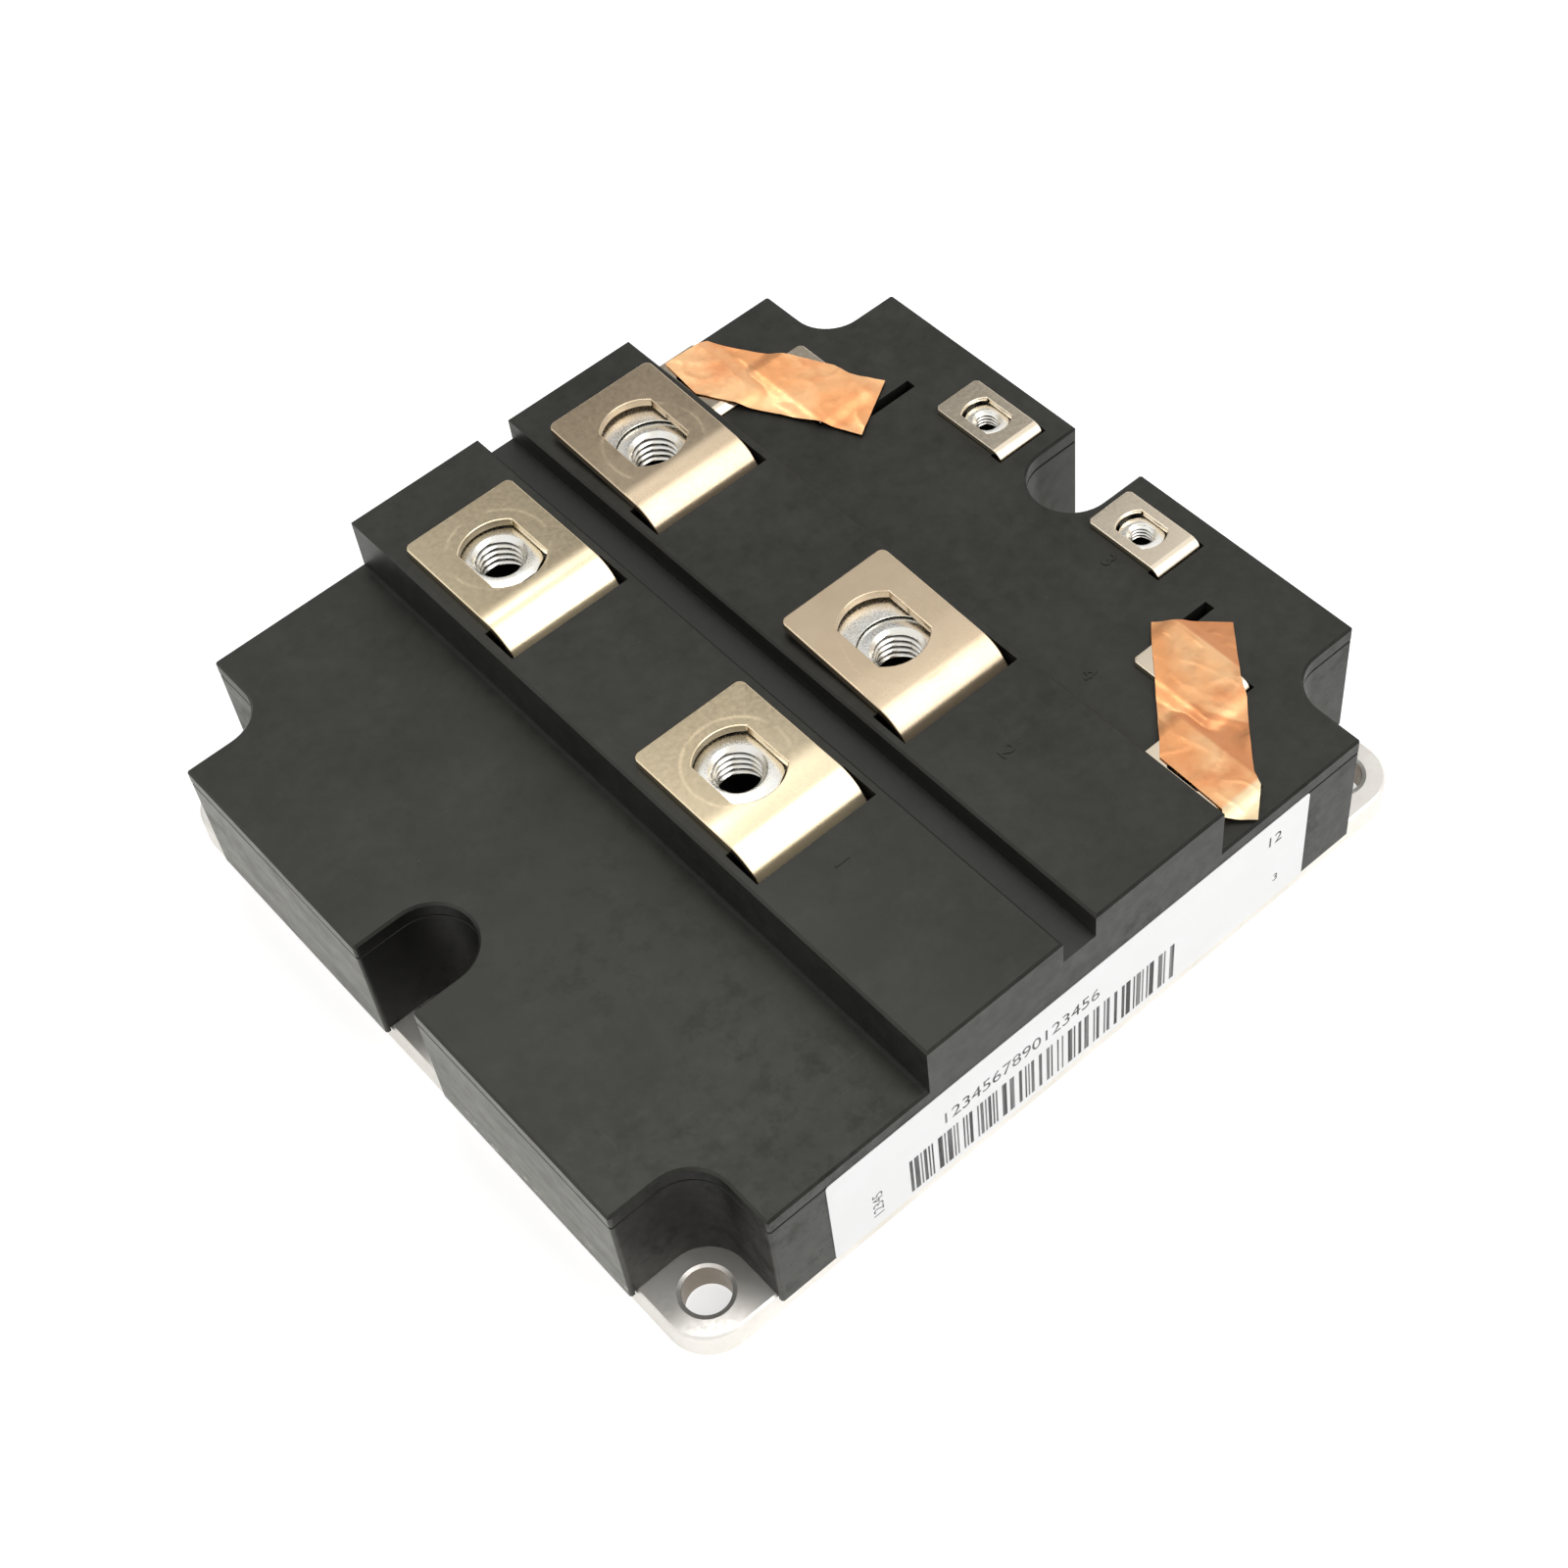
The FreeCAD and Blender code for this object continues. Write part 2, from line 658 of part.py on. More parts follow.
def make_main_terminal(number, side, bend, lift):
    body = new_body("main_terminal_%d" % number)
    reach = S.tongue_length - S.slot_gap
    side_view = add_sketch(body, "side_view", plane="YZ_Plane")
    draw_bent_strip(side_view, tongue_top, reach, S.bend_radius, S.tongue_thickness, lift,
                    track_top, S.foot_length)
    pad(body, "strip", side_view, S.tongue_width, reach="Symmetric")
    cut_tongue(body, S.tongue_width, S.leg_width, slot_bottom + S.slot_gap, track_top,
               S.tongue_hole_place - S.slot_gap, S.tongue_hole_flats, S.tongue_hole_length,
               tongue_top + 2 * S.tongue_thickness, 4 * S.tongue_thickness)
    dress_tongue_corners(body, "Fillet", S.tongue_corner, reach - S.tongue_corner, rib_top - 1)
    place(body, rib_center * side, bend + S.slot_gap)
    keep(body, "main_terminal_%d" % number)


def make_small_terminal(number, x, y):
    body = new_body("small_terminal_%d" % number)
    reach = S.small_length - S.slot_gap
    side_view = add_sketch(body, "side_view", plane="YZ_Plane")
    draw_bent_strip(side_view, small_top, reach, S.small_bend_radius, S.small_thickness, ZERO,
                    board_top, ZERO)
    pad(body, "strip", side_view, S.small_width, reach="Symmetric")
    cut_tongue(body, S.small_width, S.small_leg_width, S.seam_height - S.rim_depth, board_top,
               S.small_hole_place - S.slot_gap, S.small_hole_flats, S.small_hole_length,
               small_top, S.small_thickness)
    dress_tongue_corners(body, "Chamfer", S.small_corner, reach - S.small_corner, deck_top - 1)
    place(body, x, y - S.small_hole_place + S.slot_gap)
    keep(body, "aux_terminal_%d" % number)


def make_nut(name, x, y, z, flats, height, bore):
    """A hexagon nut with two corners along X and a plain bore."""
    prism = doc.addObject("Part::Prism", name + "_hexagon")
    prism.Polygon = 6
    bind(prism, Circumradius=flats / math.sqrt(3), Height=height)
    hole = doc.addObject("Part::Cylinder", name + "_bore")
    bind(hole, Radius=bore / 2, Height=height)
    nut = doc.addObject("Part::Cut", name)
    nut.Base, nut.Tool = prism, hole
    return place(nut, x, y, z)


def make_nuts(label, places, z, flats, height, bore):
    group = doc.addObject("Part::Compound", label)
    group.Links = [make_nut("%s_%d" % (label, index), x, y, z, flats, height, bore)
                   for index, (x, y) in enumerate(places, start=1)]
    keep(group, label)


def make_box(name, low_x, low_y, low_z, length, width, height):
    box = doc.addObject("Part::Box", name)
    bind(box, Length=length, Width=width, Height=height)
    return place(box, low_x, low_y, low_z)


def make_centred_box(name, x, y, low_z, length, width, height):
    return make_box(name, x - length / 2, y - width / 2, low_z, length, width, height)


def tile_places():
    return [(side, (S.tile_gap_x + tile_length) / 2 * side, (S.tile_gap_y + tile_width) / 2 * row)
            for row in (1, -1) for side in (LEFT, RIGHT)]


def track_edges():
    """Distances from the tile's inner edge: both edges of the power, gate and chip tracks."""
    power_end = S.track_margin + S.power_track_width
    gate_start = power_end + S.track_gap
    gate_end = gate_start + S.gate_track_width
    return ((S.track_margin, power_end), (gate_start, gate_end),
            (gate_end + S.track_gap, tile_length - S.track_margin))


def chip_length():
    """Side of a transistor chip along X: two of them and their gaps fill the chip track."""
    start, end = track_edges()[2]
    return (end - start - S.chip_gap - 2 * S.chip_track_margin) / 2


def chip_width():
    """Side of a transistor chip along Y: three rows and their gaps fill the tile."""
    return (tile_width - 2 * S.chip_end_gap - 2 * S.chip_row_gap) / 3


def chip_columns():
    """Distances of the two chip columns from the tile's inner edge."""
    start, end = track_edges()[2]
    pitch = chip_length() + S.chip_gap
    return ((start + end - pitch) / 2, (start + end + pitch) / 2)


def chip_row_pitch():
    return chip_width() + S.chip_row_gap


def make_tile(number, side, x, y):
    """One ceramic tile with its copper tracks, chips and bond ribbons."""
    inner_edge = S.tile_gap_x / 2 * side
    tile = make_centred_box("ceramic_substrate_%d" % number, x, y, S.plate_thickness,
                            tile_length, tile_width, S.tile_thickness)
    keep(tile, "ceramic_substrate_%d" % number)
    tracks = doc.addObject("Part::Compound", "copper_tracks_%d" % number)
    track_width = tile_width - 2 * S.track_margin
    tracks.Links = [
        make_centred_box("track_%d_%d" % (number, index), inner_edge + (start + end) / 2 * side, y,
                         tile_top, end - start, track_width, S.track_thickness)
        for index, (start, end) in enumerate(track_edges(), start=1)]
    keep(tracks, "copper_tracks_%d" % number)
    make_chips(number, side, inner_edge, y)
    make_bond_ribbons(number, side, inner_edge, y)


def make_chips(number, side, inner_edge, y):
    """Three rows of two chips: transistors in the outer rows and diodes between them."""
    counts = {"igbt_chip": 0, "diode_chip": 0}
    for row in (-1, 0, 1):
        kind, less = ("diode_chip", S.diode_difference) if row == 0 else ("igbt_chip", ZERO)
        for column in chip_columns():
            counts[kind] += 1
            name = "%s_%d_%d" % (kind, number, counts[kind])
            chip = make_centred_box(name, inner_edge + column * side, y + chip_row_pitch() * row,
                                    track_top, chip_length() - less, chip_width() - less,
                                    S.chip_thickness)
            keep(chip, name)


def ribbon_ends():
    """Distances of a ribbon's two ends from the tile's inner edge."""
    half_foot = S.ribbon_foot / 2
    return track_edges()[0][1] - S.ribbon_foot - half_foot, chip_columns()[1] + half_foot


def make_bond_ribbons(number, side, inner_edge, y):
    """Ribbons stitched from the outer chips over the inner ones down to the power track.
    Each ribbon is one closed side view, given its width, and repeated along the tile."""
    near = chip_columns()[0]
    start, end = ribbon_ends()
    foot, half_foot, thick = S.ribbon_foot, S.ribbon_foot / 2, S.ribbon_thickness
    peak = chip_top + S.ribbon_rise
    slope = S.ribbon_rise * 0.8

    def at(distance, height):
        return (inner_edge + distance * side, height)

    upper = [at(end, chip_top + thick), at(end - foot, chip_top + thick),
             at(end - foot - slope, peak), at(near + half_foot + slope, peak),
             at(near + half_foot, chip_top + thick), at(near - half_foot, chip_top + thick),
             at(near - half_foot - slope, peak), at(start + foot + slope, peak),
             at(start + foot, track_top + thick), at(start, track_top + thick)]
    below = peak - thick
    lean = slope - thick / 2
    lower = [at(start, track_top), at(start + foot + thick / 2, track_top),
             at(start + foot + slope, below), at(near - half_foot - slope, below),
             at(near - half_foot - slope + lean, chip_top),
             at(near + half_foot + slope - lean, chip_top),
             at(near + half_foot + slope, below), at(end - foot - slope, below),
             at(end - foot - slope + lean, chip_top), at(end, chip_top)]
    ribbons = []
    for row in (-1, 0, 1):
        ribbon = new_body("ribbon_%d_%d" % (number, len(ribbons) + 1))
        view = add_sketch(ribbon, "ribbon_side_view", plane="XZ_Plane")
        draw_outline(view, upper + lower)
        pad(ribbon, "ribbon", view, S.ribbon_width, reach="Symmetric")
        place(ribbon, y=y + chip_row_pitch() * row)
        ribbons.append(ribbon)
    group = doc.addObject("Part::Compound", "bond_ribbons_%d" % number)
    group.Links = ribbons
    keep(group, "bond_ribbons_%d" % number)


def pin_places():
    """Two pins on the gate track of each right-hand tile and two on its chip track's end."""
    gate_start, gate_end = track_edges()[1]
    inner_edge = S.tile_gap_x / 2
    chip_track_end = track_edges()[2][1]
    places = []
    for side, x, y in tile_places():
        if side == RIGHT:
            for row in (-0.5, 0.5):
                along = y + (tile_width - 4 * S.track_margin) * row
                places.append((inner_edge + (gate_start + gate_end) / 2, along))
                places.append((inner_edge + chip_track_end - S.pin_side, along))
    return places


def make_signal_board():
    """The board under the low deck that the small terminals stand on, and its pins."""
    body = new_body("gate_board")
    outline = add_sketch(body, "board_outline", board_bottom)
    draw_notched_outline(outline, S.wall + S.board_gap)
    pad(body, "board", outline, S.board_thickness)
    cut = add_sketch(body, "board_cut_outline", board_bottom)
    board_start = S.tile_gap_x / 2 + track_edges()[1][0]
    draw_rectangle(cut, -half_length, -half_width, board_start - S.track_gap / 2, half_width)
    pocket(body, "board_cut", cut, S.board_thickness, upward=True)
    keep(body, "gate_board")
    pins = doc.addObject("Part::Compound", "gate_pins")
    pins.Links = [make_centred_box("gate_pin_%d" % index, x, y, track_top, S.pin_side, S.pin_side,
                                   board_bottom - track_top)
                  for index, (x, y) in enumerate(pin_places(), start=1)]
    keep(pins, "gate_pins")


def make_gel_hollows(number, side, y):
    """Room in the gel for one tile with its chips, and for the ribbons over it."""
    inner_edge = S.tile_gap_x / 2 * side
    start, end = ribbon_ends()
    hollows = [make_centred_box("tile_room_%d" % number, inner_edge + tile_length / 2 * side, y,
                                S.plate_thickness, tile_length, tile_width,
                                chip_top - S.plate_thickness)]
    for row in (-1, 0, 1):
        hollows.append(make_centred_box(
            "ribbon_room_%d_%d" % (number, row + 2), inner_edge + (start + end) / 2 * side,
            y + chip_row_pitch() * row, chip_top, end - start, S.ribbon_width, S.ribbon_rise))
    return hollows


def make_silicone_gel():
    """Soft gel that fills the case over the chips, cut to what stands in it."""
    body = new_body("gel_block")
    outline = add_sketch(body, "gel_outline", S.plate_thickness)
    draw_notched_outline(outline, S.wall)
    pad(body, "gel_fill", outline, S.gel_depth)
    rooms = [item for item in PARTS if item.Label.startswith(("gate_pins", "main_terminal"))]
    for number, (side, x, y) in enumerate(tile_places(), start=1):
        rooms += make_gel_hollows(number, side, y)
    pieces = doc.addObject("Part::Compound", "rooms_in_gel")
    pieces.Links = rooms
    gel = doc.addObject("Part::Cut", "silicone_gel")
    gel.Base, gel.Tool = body, pieces
    keep(gel, "silicone_gel")


def make_label():
    body = new_body("label")
    outline = add_sketch(body, "label_outline", half_width, plane="XZ_Plane")
    draw_rounded_block(outline, S.label_shift, S.label_bottom + S.label_height / 2,
                       S.label_length, S.label_height, S.label_corner)
    pad(body, "label_sheet", outline, S.label_thickness)
    keep(body, "label")


def make_foil(label, first, second, stations):
    """A creased strip of foil over two small terminals. Each station across it is a left edge,
    a middle and a right edge point: x, y from halfway between the two holes, and a height."""
    thick = FreeCAD.Vector(0, 0, S.foil_thickness.value)
    rows = [[FreeCAD.Vector(*point) for point in row] for row in stations]
    triangles = []
    for near, far in zip(rows, rows[1:]):
        for index in (0, 1):
            triangles.append((near[index], near[index + 1], far[index + 1]))
            triangles.append((near[index], far[index + 1], far[index]))
    rim = rows[0] + [row[2] for row in rows[1:-1]] + rows[-1][::-1] + [row[0] for row in rows[-2:0:-1]]
    rings = triangles + [tuple(point + thick for point in corners) for corners in triangles]
    rings += [(start, end, end + thick, start + thick) for start, end in zip(rim, rim[1:] + rim[:1])]
    faces = [Part.Face(Part.makePolygon(ring + ring[:1])) for ring in rings]
    solid = Part.makeSolid(Part.makeShell(faces))
    if solid.Volume < 0:
        solid.reverse()
    strip = doc.addObject("Part::Feature", label)
    strip.Shape = solid
    place(strip, (first[0] + second[0]) / 2, (first[1] + second[1]) / 2, small_top + S.foil_gap)
    keep(strip, label)


def make_foil_strips():
    """Two crumpled strips, each laid over two small terminals to short them together."""
    make_foil("foil_strip_1", SMALL_TERMINALS[0], SMALL_TERMINALS[1], (
        ((4.2, -21.3, 0.2), (9.9, -17.9, 0.9), (14.8, -15.0, 0.1)),
        ((2.3, -17.0, 0.4), (7.4, -13.3, 0.1), (11.5, -10.0, 0.5)),
        ((-1.6, -9.2, 0.3), (4.9, -7.7, 0.6), (11.0, -7.1, 0.2)),
        ((-5.7, -2.0, 0.0), (0.5, -0.5, 0.9), (7.0, 0.8, 0.1)),
        ((-8.9, 4.1, 0.3), (-3.0, 6.0, 0.1), (2.7, 7.6, 0.5)),
        ((-8.1, 12.9, 0.1), (-3.8, 12.8, 0.5), (0.4, 12.5, 0.2))))
    make_foil("foil_strip_2", SMALL_TERMINALS[4], SMALL_TERMINALS[5], (
        ((8.9, 16.9, 0.3), (13.2, 12.8, 1.0), (17.3, 8.5, 0.2)),
        ((5.8, 13.8, 0.1), (9.6, 9.2, 0.5), (13.8, 4.4, 0.4)),
        ((1.6, 9.0, 0.5), (6.0, 4.6, 0.1), (10.3, 0.4, 0.2)),
        ((-3.2, 3.7, 0.2), (2.2, -1.4, 1.1), (8.3, -2.7, 0.6)),
        ((-6.3, 0.3, 0.0), (-1.4, -4.0, 0.2), (3.7, -7.7, 0.2)),
        ((-8.4, -1.8, 0.4), (-4.6, -7.8, 0.8), (-0.8, -12.7, 0.1)),
        ((-8.7, -14.1, 0.2), (-5.2, -14.6, 0.1), (-1.8, -14.9, 0.4)),
        ((-9.6, -15.2, 0.5), (-7.8, -17.0, 0.2), (-6.1, -18.5, 0.1))))


def check_and_write():
    """Refuse a failed object or shape, then write each sub-part to its own file."""
    doc.recompute()
    for item in doc.Objects:
        if "Invalid" in item.State or "Error" in item.State:
            raise RuntimeError("%s failed: %s" % (item.Name, item.State))
    for item in PARTS:
        if item.Shape.isNull() or not item.Shape.isValid():
            raise RuntimeError("%s has no sound shape" % item.Label)
    os.makedirs("parts", exist_ok=True)
    for item in PARTS:
        item.Shape.exportStep("parts/%s.step" % item.Label)


make_base_plate()
make_housing_frame()
make_housing_lid()
for number, (side, bend, lift) in enumerate(bend_places(), start=1):
    make_main_terminal(number, side, bend, lift)
make_nuts("m8_nuts", power_nut_places(), rib_top - S.power_nut_sink - S.power_nut_height,
          S.power_nut_flats, S.power_nut_height, S.power_nut_bore)
for number, (x, y) in enumerate(SMALL_TERMINALS, start=1):
    make_small_terminal(number, x, y)
make_nuts("m4_nuts", SMALL_TERMINALS, deck_top - S.small_nut_sink - S.small_nut_height,
          S.small_nut_flats, S.small_nut_height, S.small_nut_bore)
for number, (side, x, y) in enumerate(tile_places(), start=1):
    make_tile(number, side, x, y)
make_signal_board()
make_silicone_gel()
make_label()
make_foil_strips()
check_and_write()
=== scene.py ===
import math
import random

import bmesh
import bpy
from mathutils import Matrix, Vector, noise


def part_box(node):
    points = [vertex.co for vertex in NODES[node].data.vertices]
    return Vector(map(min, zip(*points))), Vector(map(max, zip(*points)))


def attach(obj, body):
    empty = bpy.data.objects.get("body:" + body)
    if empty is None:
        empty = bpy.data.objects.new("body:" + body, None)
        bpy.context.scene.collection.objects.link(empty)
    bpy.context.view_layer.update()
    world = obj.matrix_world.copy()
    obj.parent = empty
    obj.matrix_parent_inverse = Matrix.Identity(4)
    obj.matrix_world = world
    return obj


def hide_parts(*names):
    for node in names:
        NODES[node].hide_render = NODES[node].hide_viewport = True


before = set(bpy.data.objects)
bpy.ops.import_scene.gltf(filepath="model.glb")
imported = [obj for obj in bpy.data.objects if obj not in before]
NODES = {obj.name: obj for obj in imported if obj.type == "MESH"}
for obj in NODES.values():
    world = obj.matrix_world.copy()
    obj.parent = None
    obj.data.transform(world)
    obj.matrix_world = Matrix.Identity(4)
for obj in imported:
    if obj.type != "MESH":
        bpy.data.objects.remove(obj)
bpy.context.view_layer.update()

# Power transistor module: materials, fine shapes, lights and camera.
# The scene is in metres. Sizes below are in millimetres and are multiplied by MM or go through mm().

MM = 0.001

# Places on the module, in millimetres from the middle of the underside
CASE_HALF_LENGTH, CASE_HALF_WIDTH = 70.0, 65.0
GROOVE_HALF_WIDTH, GROOVE_FLOOR, GROOVE_TOP = 4.0, 27.9, 33.5
LEFT_RIB_FOOT = -27.65
NOTCH_INNER_END = -49.0
FIXING_HOLE_X, FIXING_HOLE_Y, FIXING_HOLE_RADIUS = 62.0, 57.0, 3.5
TONGUE_HALF_WIDTH = 10.0


def mm(*values):
    return Vector([value * MM for value in values])


# Shader nodes

class Shader:
    """A material's node tree with short calls for the nodes that the materials share."""

    def __init__(self, name):
        self.material = bpy.data.materials.new(name)
        self.material.use_nodes = True
        self.tree = self.material.node_tree
        self.surface = self.tree.nodes["Principled BSDF"]
        coordinates = self.tree.nodes.new("ShaderNodeTexCoord")
        self.position = self.maths3("SCALE", coordinates.outputs["Object"], scale=1000.0)
        self.normal = self.tree.nodes.new("ShaderNodeNewGeometry").outputs["Normal"]

    def put(self, socket, value):
        """Link the value where it is a node's output, and set it where it is a number."""
        if isinstance(value, bpy.types.NodeSocket):
            self.tree.links.new(value, socket)
        else:
            socket.default_value = value

    def set(self, **values):
        """Fill the surface's sockets by name, with underscores for spaces."""
        for name, value in values.items():
            self.put(self.surface.inputs[name.replace("_", " ")], value)

    def maths3(self, operation, first, second=None, scale=None):
        """A vector operation. A scale may be a number or a node's output."""
        node = self.tree.nodes.new("ShaderNodeVectorMath")
        node.operation = operation
        self.put(node.inputs[0], first)
        if second is not None:
            self.put(node.inputs[1], second)
        if scale is not None:
            self.put(node.inputs["Scale"], scale)
        return node.outputs["Value" if operation in ("LENGTH", "DISTANCE") else "Vector"]

    def maths(self, operation, first, second=0.0, third=0.0):
        node = self.tree.nodes.new("ShaderNodeMath")
        node.operation = operation
        for socket, value in zip(node.inputs, (first, second, third)):
            self.put(socket, value)
        return node.outputs[0]

    def product(self, first, *factors):
        for factor in factors:
            first = self.maths("MULTIPLY", first, factor)
        return first

    def axes(self, vector):
        node = self.tree.nodes.new("ShaderNodeSeparateXYZ")
        self.put(node.inputs[0], vector)
        return node.outputs

    def noise(self, per_mm, detail=3.0, roughness=0.55, stretch=None, shift=None):
        """Noise over the position in millimetres, moved and stretched along the axes."""
        place = self.position
        if shift is not None:
            place = self.maths3("ADD", place, shift)
        if stretch is not None:
            place = self.maths3("MULTIPLY", place, stretch)
        node = self.tree.nodes.new("ShaderNodeTexNoise")
        self.put(node.inputs["Vector"], place)
        node.inputs["Scale"].default_value = per_mm
        node.inputs["Detail"].default_value = detail
        node.inputs["Roughness"].default_value = roughness
        return node.outputs["Fac"]

    def spread(self, value, low, high, to_low=0.0, to_high=1.0, smooth=False):
        """The value's range from low to high, spread over another range and held at its ends."""
        node = self.tree.nodes.new("ShaderNodeMapRange")
        if smooth:
            node.interpolation_type = "SMOOTHSTEP"
        for name, number in (("From Min", low), ("From Max", high),
                             ("To Min", to_low), ("To Max", to_high)):
            node.inputs[name].default_value = number
        self.put(node.inputs["Value"], value)
        return node.outputs[0]

    def mix(self, amount, first, second):
        node = self.tree.nodes.new("ShaderNodeMix")
        node.data_type = "RGBA"
        self.put(node.inputs["Factor"], amount)
        for socket, value in ((node.inputs[6], first), (node.inputs[7], second)):
            self.put(socket, value if isinstance(value, bpy.types.NodeSocket) else (*value, 1.0))
        return node.outputs[2]

    def bump(self, height, distance_mm, strength=1.0, under=None):
        node = self.tree.nodes.new("ShaderNodeBump")
        node.inputs["Strength"].default_value = strength
        node.inputs["Distance"].default_value = distance_mm * MM
        self.put(node.inputs["Height"], height)
        if under is not None:
            self.put(node.inputs["Normal"], under)
        return node.outputs["Normal"]

    def facing_up(self):
        return self.spread(self.axes(self.normal)[2], 0.6, 0.95)

    def from_axis(self, x, y):
        """Distance in millimetres from an upright axis."""
        offset = self.maths3("SUBTRACT", self.position, (x, y, 0.0))
        return self.maths3("LENGTH", self.maths3("MULTIPLY", offset, (1.0, 1.0, 0.0)))


def grey(level):
    return (level, level, level)


# Materials

def moulded_plastic(name, shade):
    """Black glass-filled plastic: mottled sheen, dust, faint rubs and a fine grain. The walls of the
    left notches get painted shade, and the left wall is painted a lighter grey for its grazing
    reflection, with scuffs."""
    s = Shader(name)
    clouds = s.noise(0.045, 4.0, 0.6)
    mottle = s.noise(0.42, 5.0, 0.68)
    worn = s.spread(s.noise(0.035, 2.0, 0.5, shift=(60.0, -20.0, 0.0)), 0.45, 0.62)
    grain = s.noise(5.0, 2.0)
    tone = s.maths("ADD", s.spread(clouds, 0.35, 0.7, 0.0, 0.55), s.spread(mottle, 0.3, 0.72, 0.0, 0.45))
    base = s.mix(tone, grey(0.3 * shade), (2.0 * shade, 1.97 * shade, 1.78 * shade))

    # Dust, haze and rubs
    specks = s.spread(s.noise(1.9, 2.0, 0.5, shift=(31.0, 7.0, 2.0)), 0.73, 0.80)
    patches = s.spread(s.noise(0.06, 3.0, shift=(5.0, 40.0, 9.0)), 0.42, 0.62)
    dust = s.product(specks, patches, s.facing_up())
    haze = s.spread(s.noise(0.11, 6.0, 0.72, shift=(90.0, 3.0, 0.0)), 0.5, 0.8)
    base = s.mix(s.product(haze, s.facing_up(), 0.30), base, (0.055, 0.055, 0.05))
    base = s.mix(s.product(dust, 0.5), base, (0.16, 0.155, 0.145))
    rubs = s.spread(s.noise(0.9, 2.0, 0.5, stretch=(0.12, 2.2, 1.0)), 0.66, 0.72)
    cross_noise = s.noise(0.8, 2.0, 0.5, stretch=(1.9, 0.1, 1.0), shift=(9.0, 9.0, 9.0))
    cross_rubs = s.spread(cross_noise, 0.69, 0.74)
    rub = s.product(s.maths("MAXIMUM", rubs, cross_rubs), patches)
    rough = s.spread(mottle, 0.3, 0.75, 0.36, 0.52)
    blotches = s.spread(s.noise(0.30, 4.0, 0.7, shift=(7.0, 70.0, 7.0)), 0.50, 0.68)
    rough = s.maths("ADD", rough, s.product(blotches, worn, 0.16))
    rough = s.maths("ADD", rough, s.product(dust, 0.25))
    rough = s.maths("SUBTRACT", rough, s.product(rub, 0.06))

    # Walls of the left notches: painted shade, and a lower specular level
    x, y, z = s.axes(s.position)
    normal_x, normal_y, normal_z = s.axes(s.normal)
    from_middle = s.maths("ABSOLUTE", x)
    upright = s.spread(s.maths("ABSOLUTE", normal_z), 0.7, 0.3)
    on_end = s.spread(from_middle, CASE_HALF_LENGTH - 0.8, CASE_HALF_LENGTH - 0.3)
    on_side = s.spread(s.maths("ABSOLUTE", y), CASE_HALF_WIDTH - 0.8, CASE_HALF_WIDTH - 0.3)
    inward = s.maths("SUBTRACT", 1.0, s.maths("MAXIMUM", on_end, on_side))
    notch = s.product(upright, inward, s.spread(x, NOTCH_INNER_END + 1.0, NOTCH_INNER_END - 1.0))
    # Painted shade: the walls of the left notches are darkened towards a near-black grey.
    base = s.mix(notch, base, grey(0.35 * shade))

    # Pale groove between the ribs, a paler line along the left rib's foot, and painted shade on the
    # rougher front and right edges
    groove = s.product(s.spread(from_middle, GROOVE_HALF_WIDTH + 0.5, GROOVE_HALF_WIDTH - 0.5),
                       s.spread(z, GROOVE_TOP + 0.5, GROOVE_TOP - 0.5),
                       s.spread(z, GROOVE_FLOOR - 0.3, GROOVE_FLOOR + 0.3))
    base = s.mix(groove, base, grey(0.026))
    # A paler line along the foot of the left rib, on faces that look up.
    from_foot = s.maths("ABSOLUTE", s.maths("SUBTRACT", x, LEFT_RIB_FOOT))
    base = s.mix(s.product(s.spread(from_foot, 0.4, 0.15), s.facing_up(), 0.5), base, grey(0.055))
    # Painted shade on bevels that face the front or the right: their colour is darkened, and they are
    # also made rougher.
    forward = s.maths("MAXIMUM", s.spread(normal_y, -0.35, -0.6), s.spread(normal_x, 0.35, 0.6))
    shaded_rough_edge = s.product(forward, s.spread(normal_z, 0.45, 0.6))
    base = s.mix(shaded_rough_edge, base, grey(0.3 * shade))
    rough = s.maths("ADD", rough, s.product(shaded_rough_edge, 0.35))

    # Left wall and far left notch: painted lighter grey for their grazing reflection, streaked, with
    # flakes low down
    far_notch = s.product(s.spread(x, NOTCH_INNER_END - 1.0, NOTCH_INNER_END - 3.0),
                          s.spread(y, 45.0, 48.0))
    left_wall = s.spread(x, 1.0 - CASE_HALF_LENGTH, 0.6 - CASE_HALF_LENGTH)
    sheen_and_scuffs = s.product(s.spread(normal_x, -0.75, -0.95), s.maths("MAXIMUM", left_wall, far_notch))
    streaks = s.spread(s.noise(0.22, 5.0, 0.65, stretch=(1.0, 0.35, 1.2), shift=(0.0, 6.0, 3.0)),
                       0.35, 0.7)
    # The lighter grey is a painted reflection. The streaks and the flakes are scuffs.
    film = s.mix(streaks, (0.115, 0.115, 0.098), (0.265, 0.262, 0.230))
    chips = s.spread(s.noise(0.75, 4.0, 0.6, stretch=(1.0, 0.6, 1.0)), 0.58, 0.64)
    flakes = s.product(chips, s.spread(z, 9.5, 6.0), s.spread(y, -6.0, -14.0))
    film = s.mix(flakes, film, (0.62, 0.61, 0.56))
    base = s.mix(sheen_and_scuffs, base, film)

    # Painted shade: walls facing -Y are darkened a little.
    front = s.spread(normal_y, -0.8, -0.95)
    base = s.mix(s.product(front, 0.4), base, grey(0.2 * shade))
    fine = s.bump(grain, 0.006, 0.5)
    gloss = s.maths("SUBTRACT", s.spread(x, -26.0, -4.0, 0.56, 0.47), s.product(notch, 0.40))
    s.set(Base_Color=base, Roughness=rough, Normal=s.bump(rub, 0.004, 0.35, under=fine),
          Specular_IOR_Level=gloss, Specular_Tint=(1.0, 1.0, 0.88, 1.0))
    return s.material


# From a tongue's front edge: where its bend begins, and where the flat first sinks towards it
BEND_DEPTH = 5.5
NEAR_REACH, FAR_REACH = 13.0, 9.5


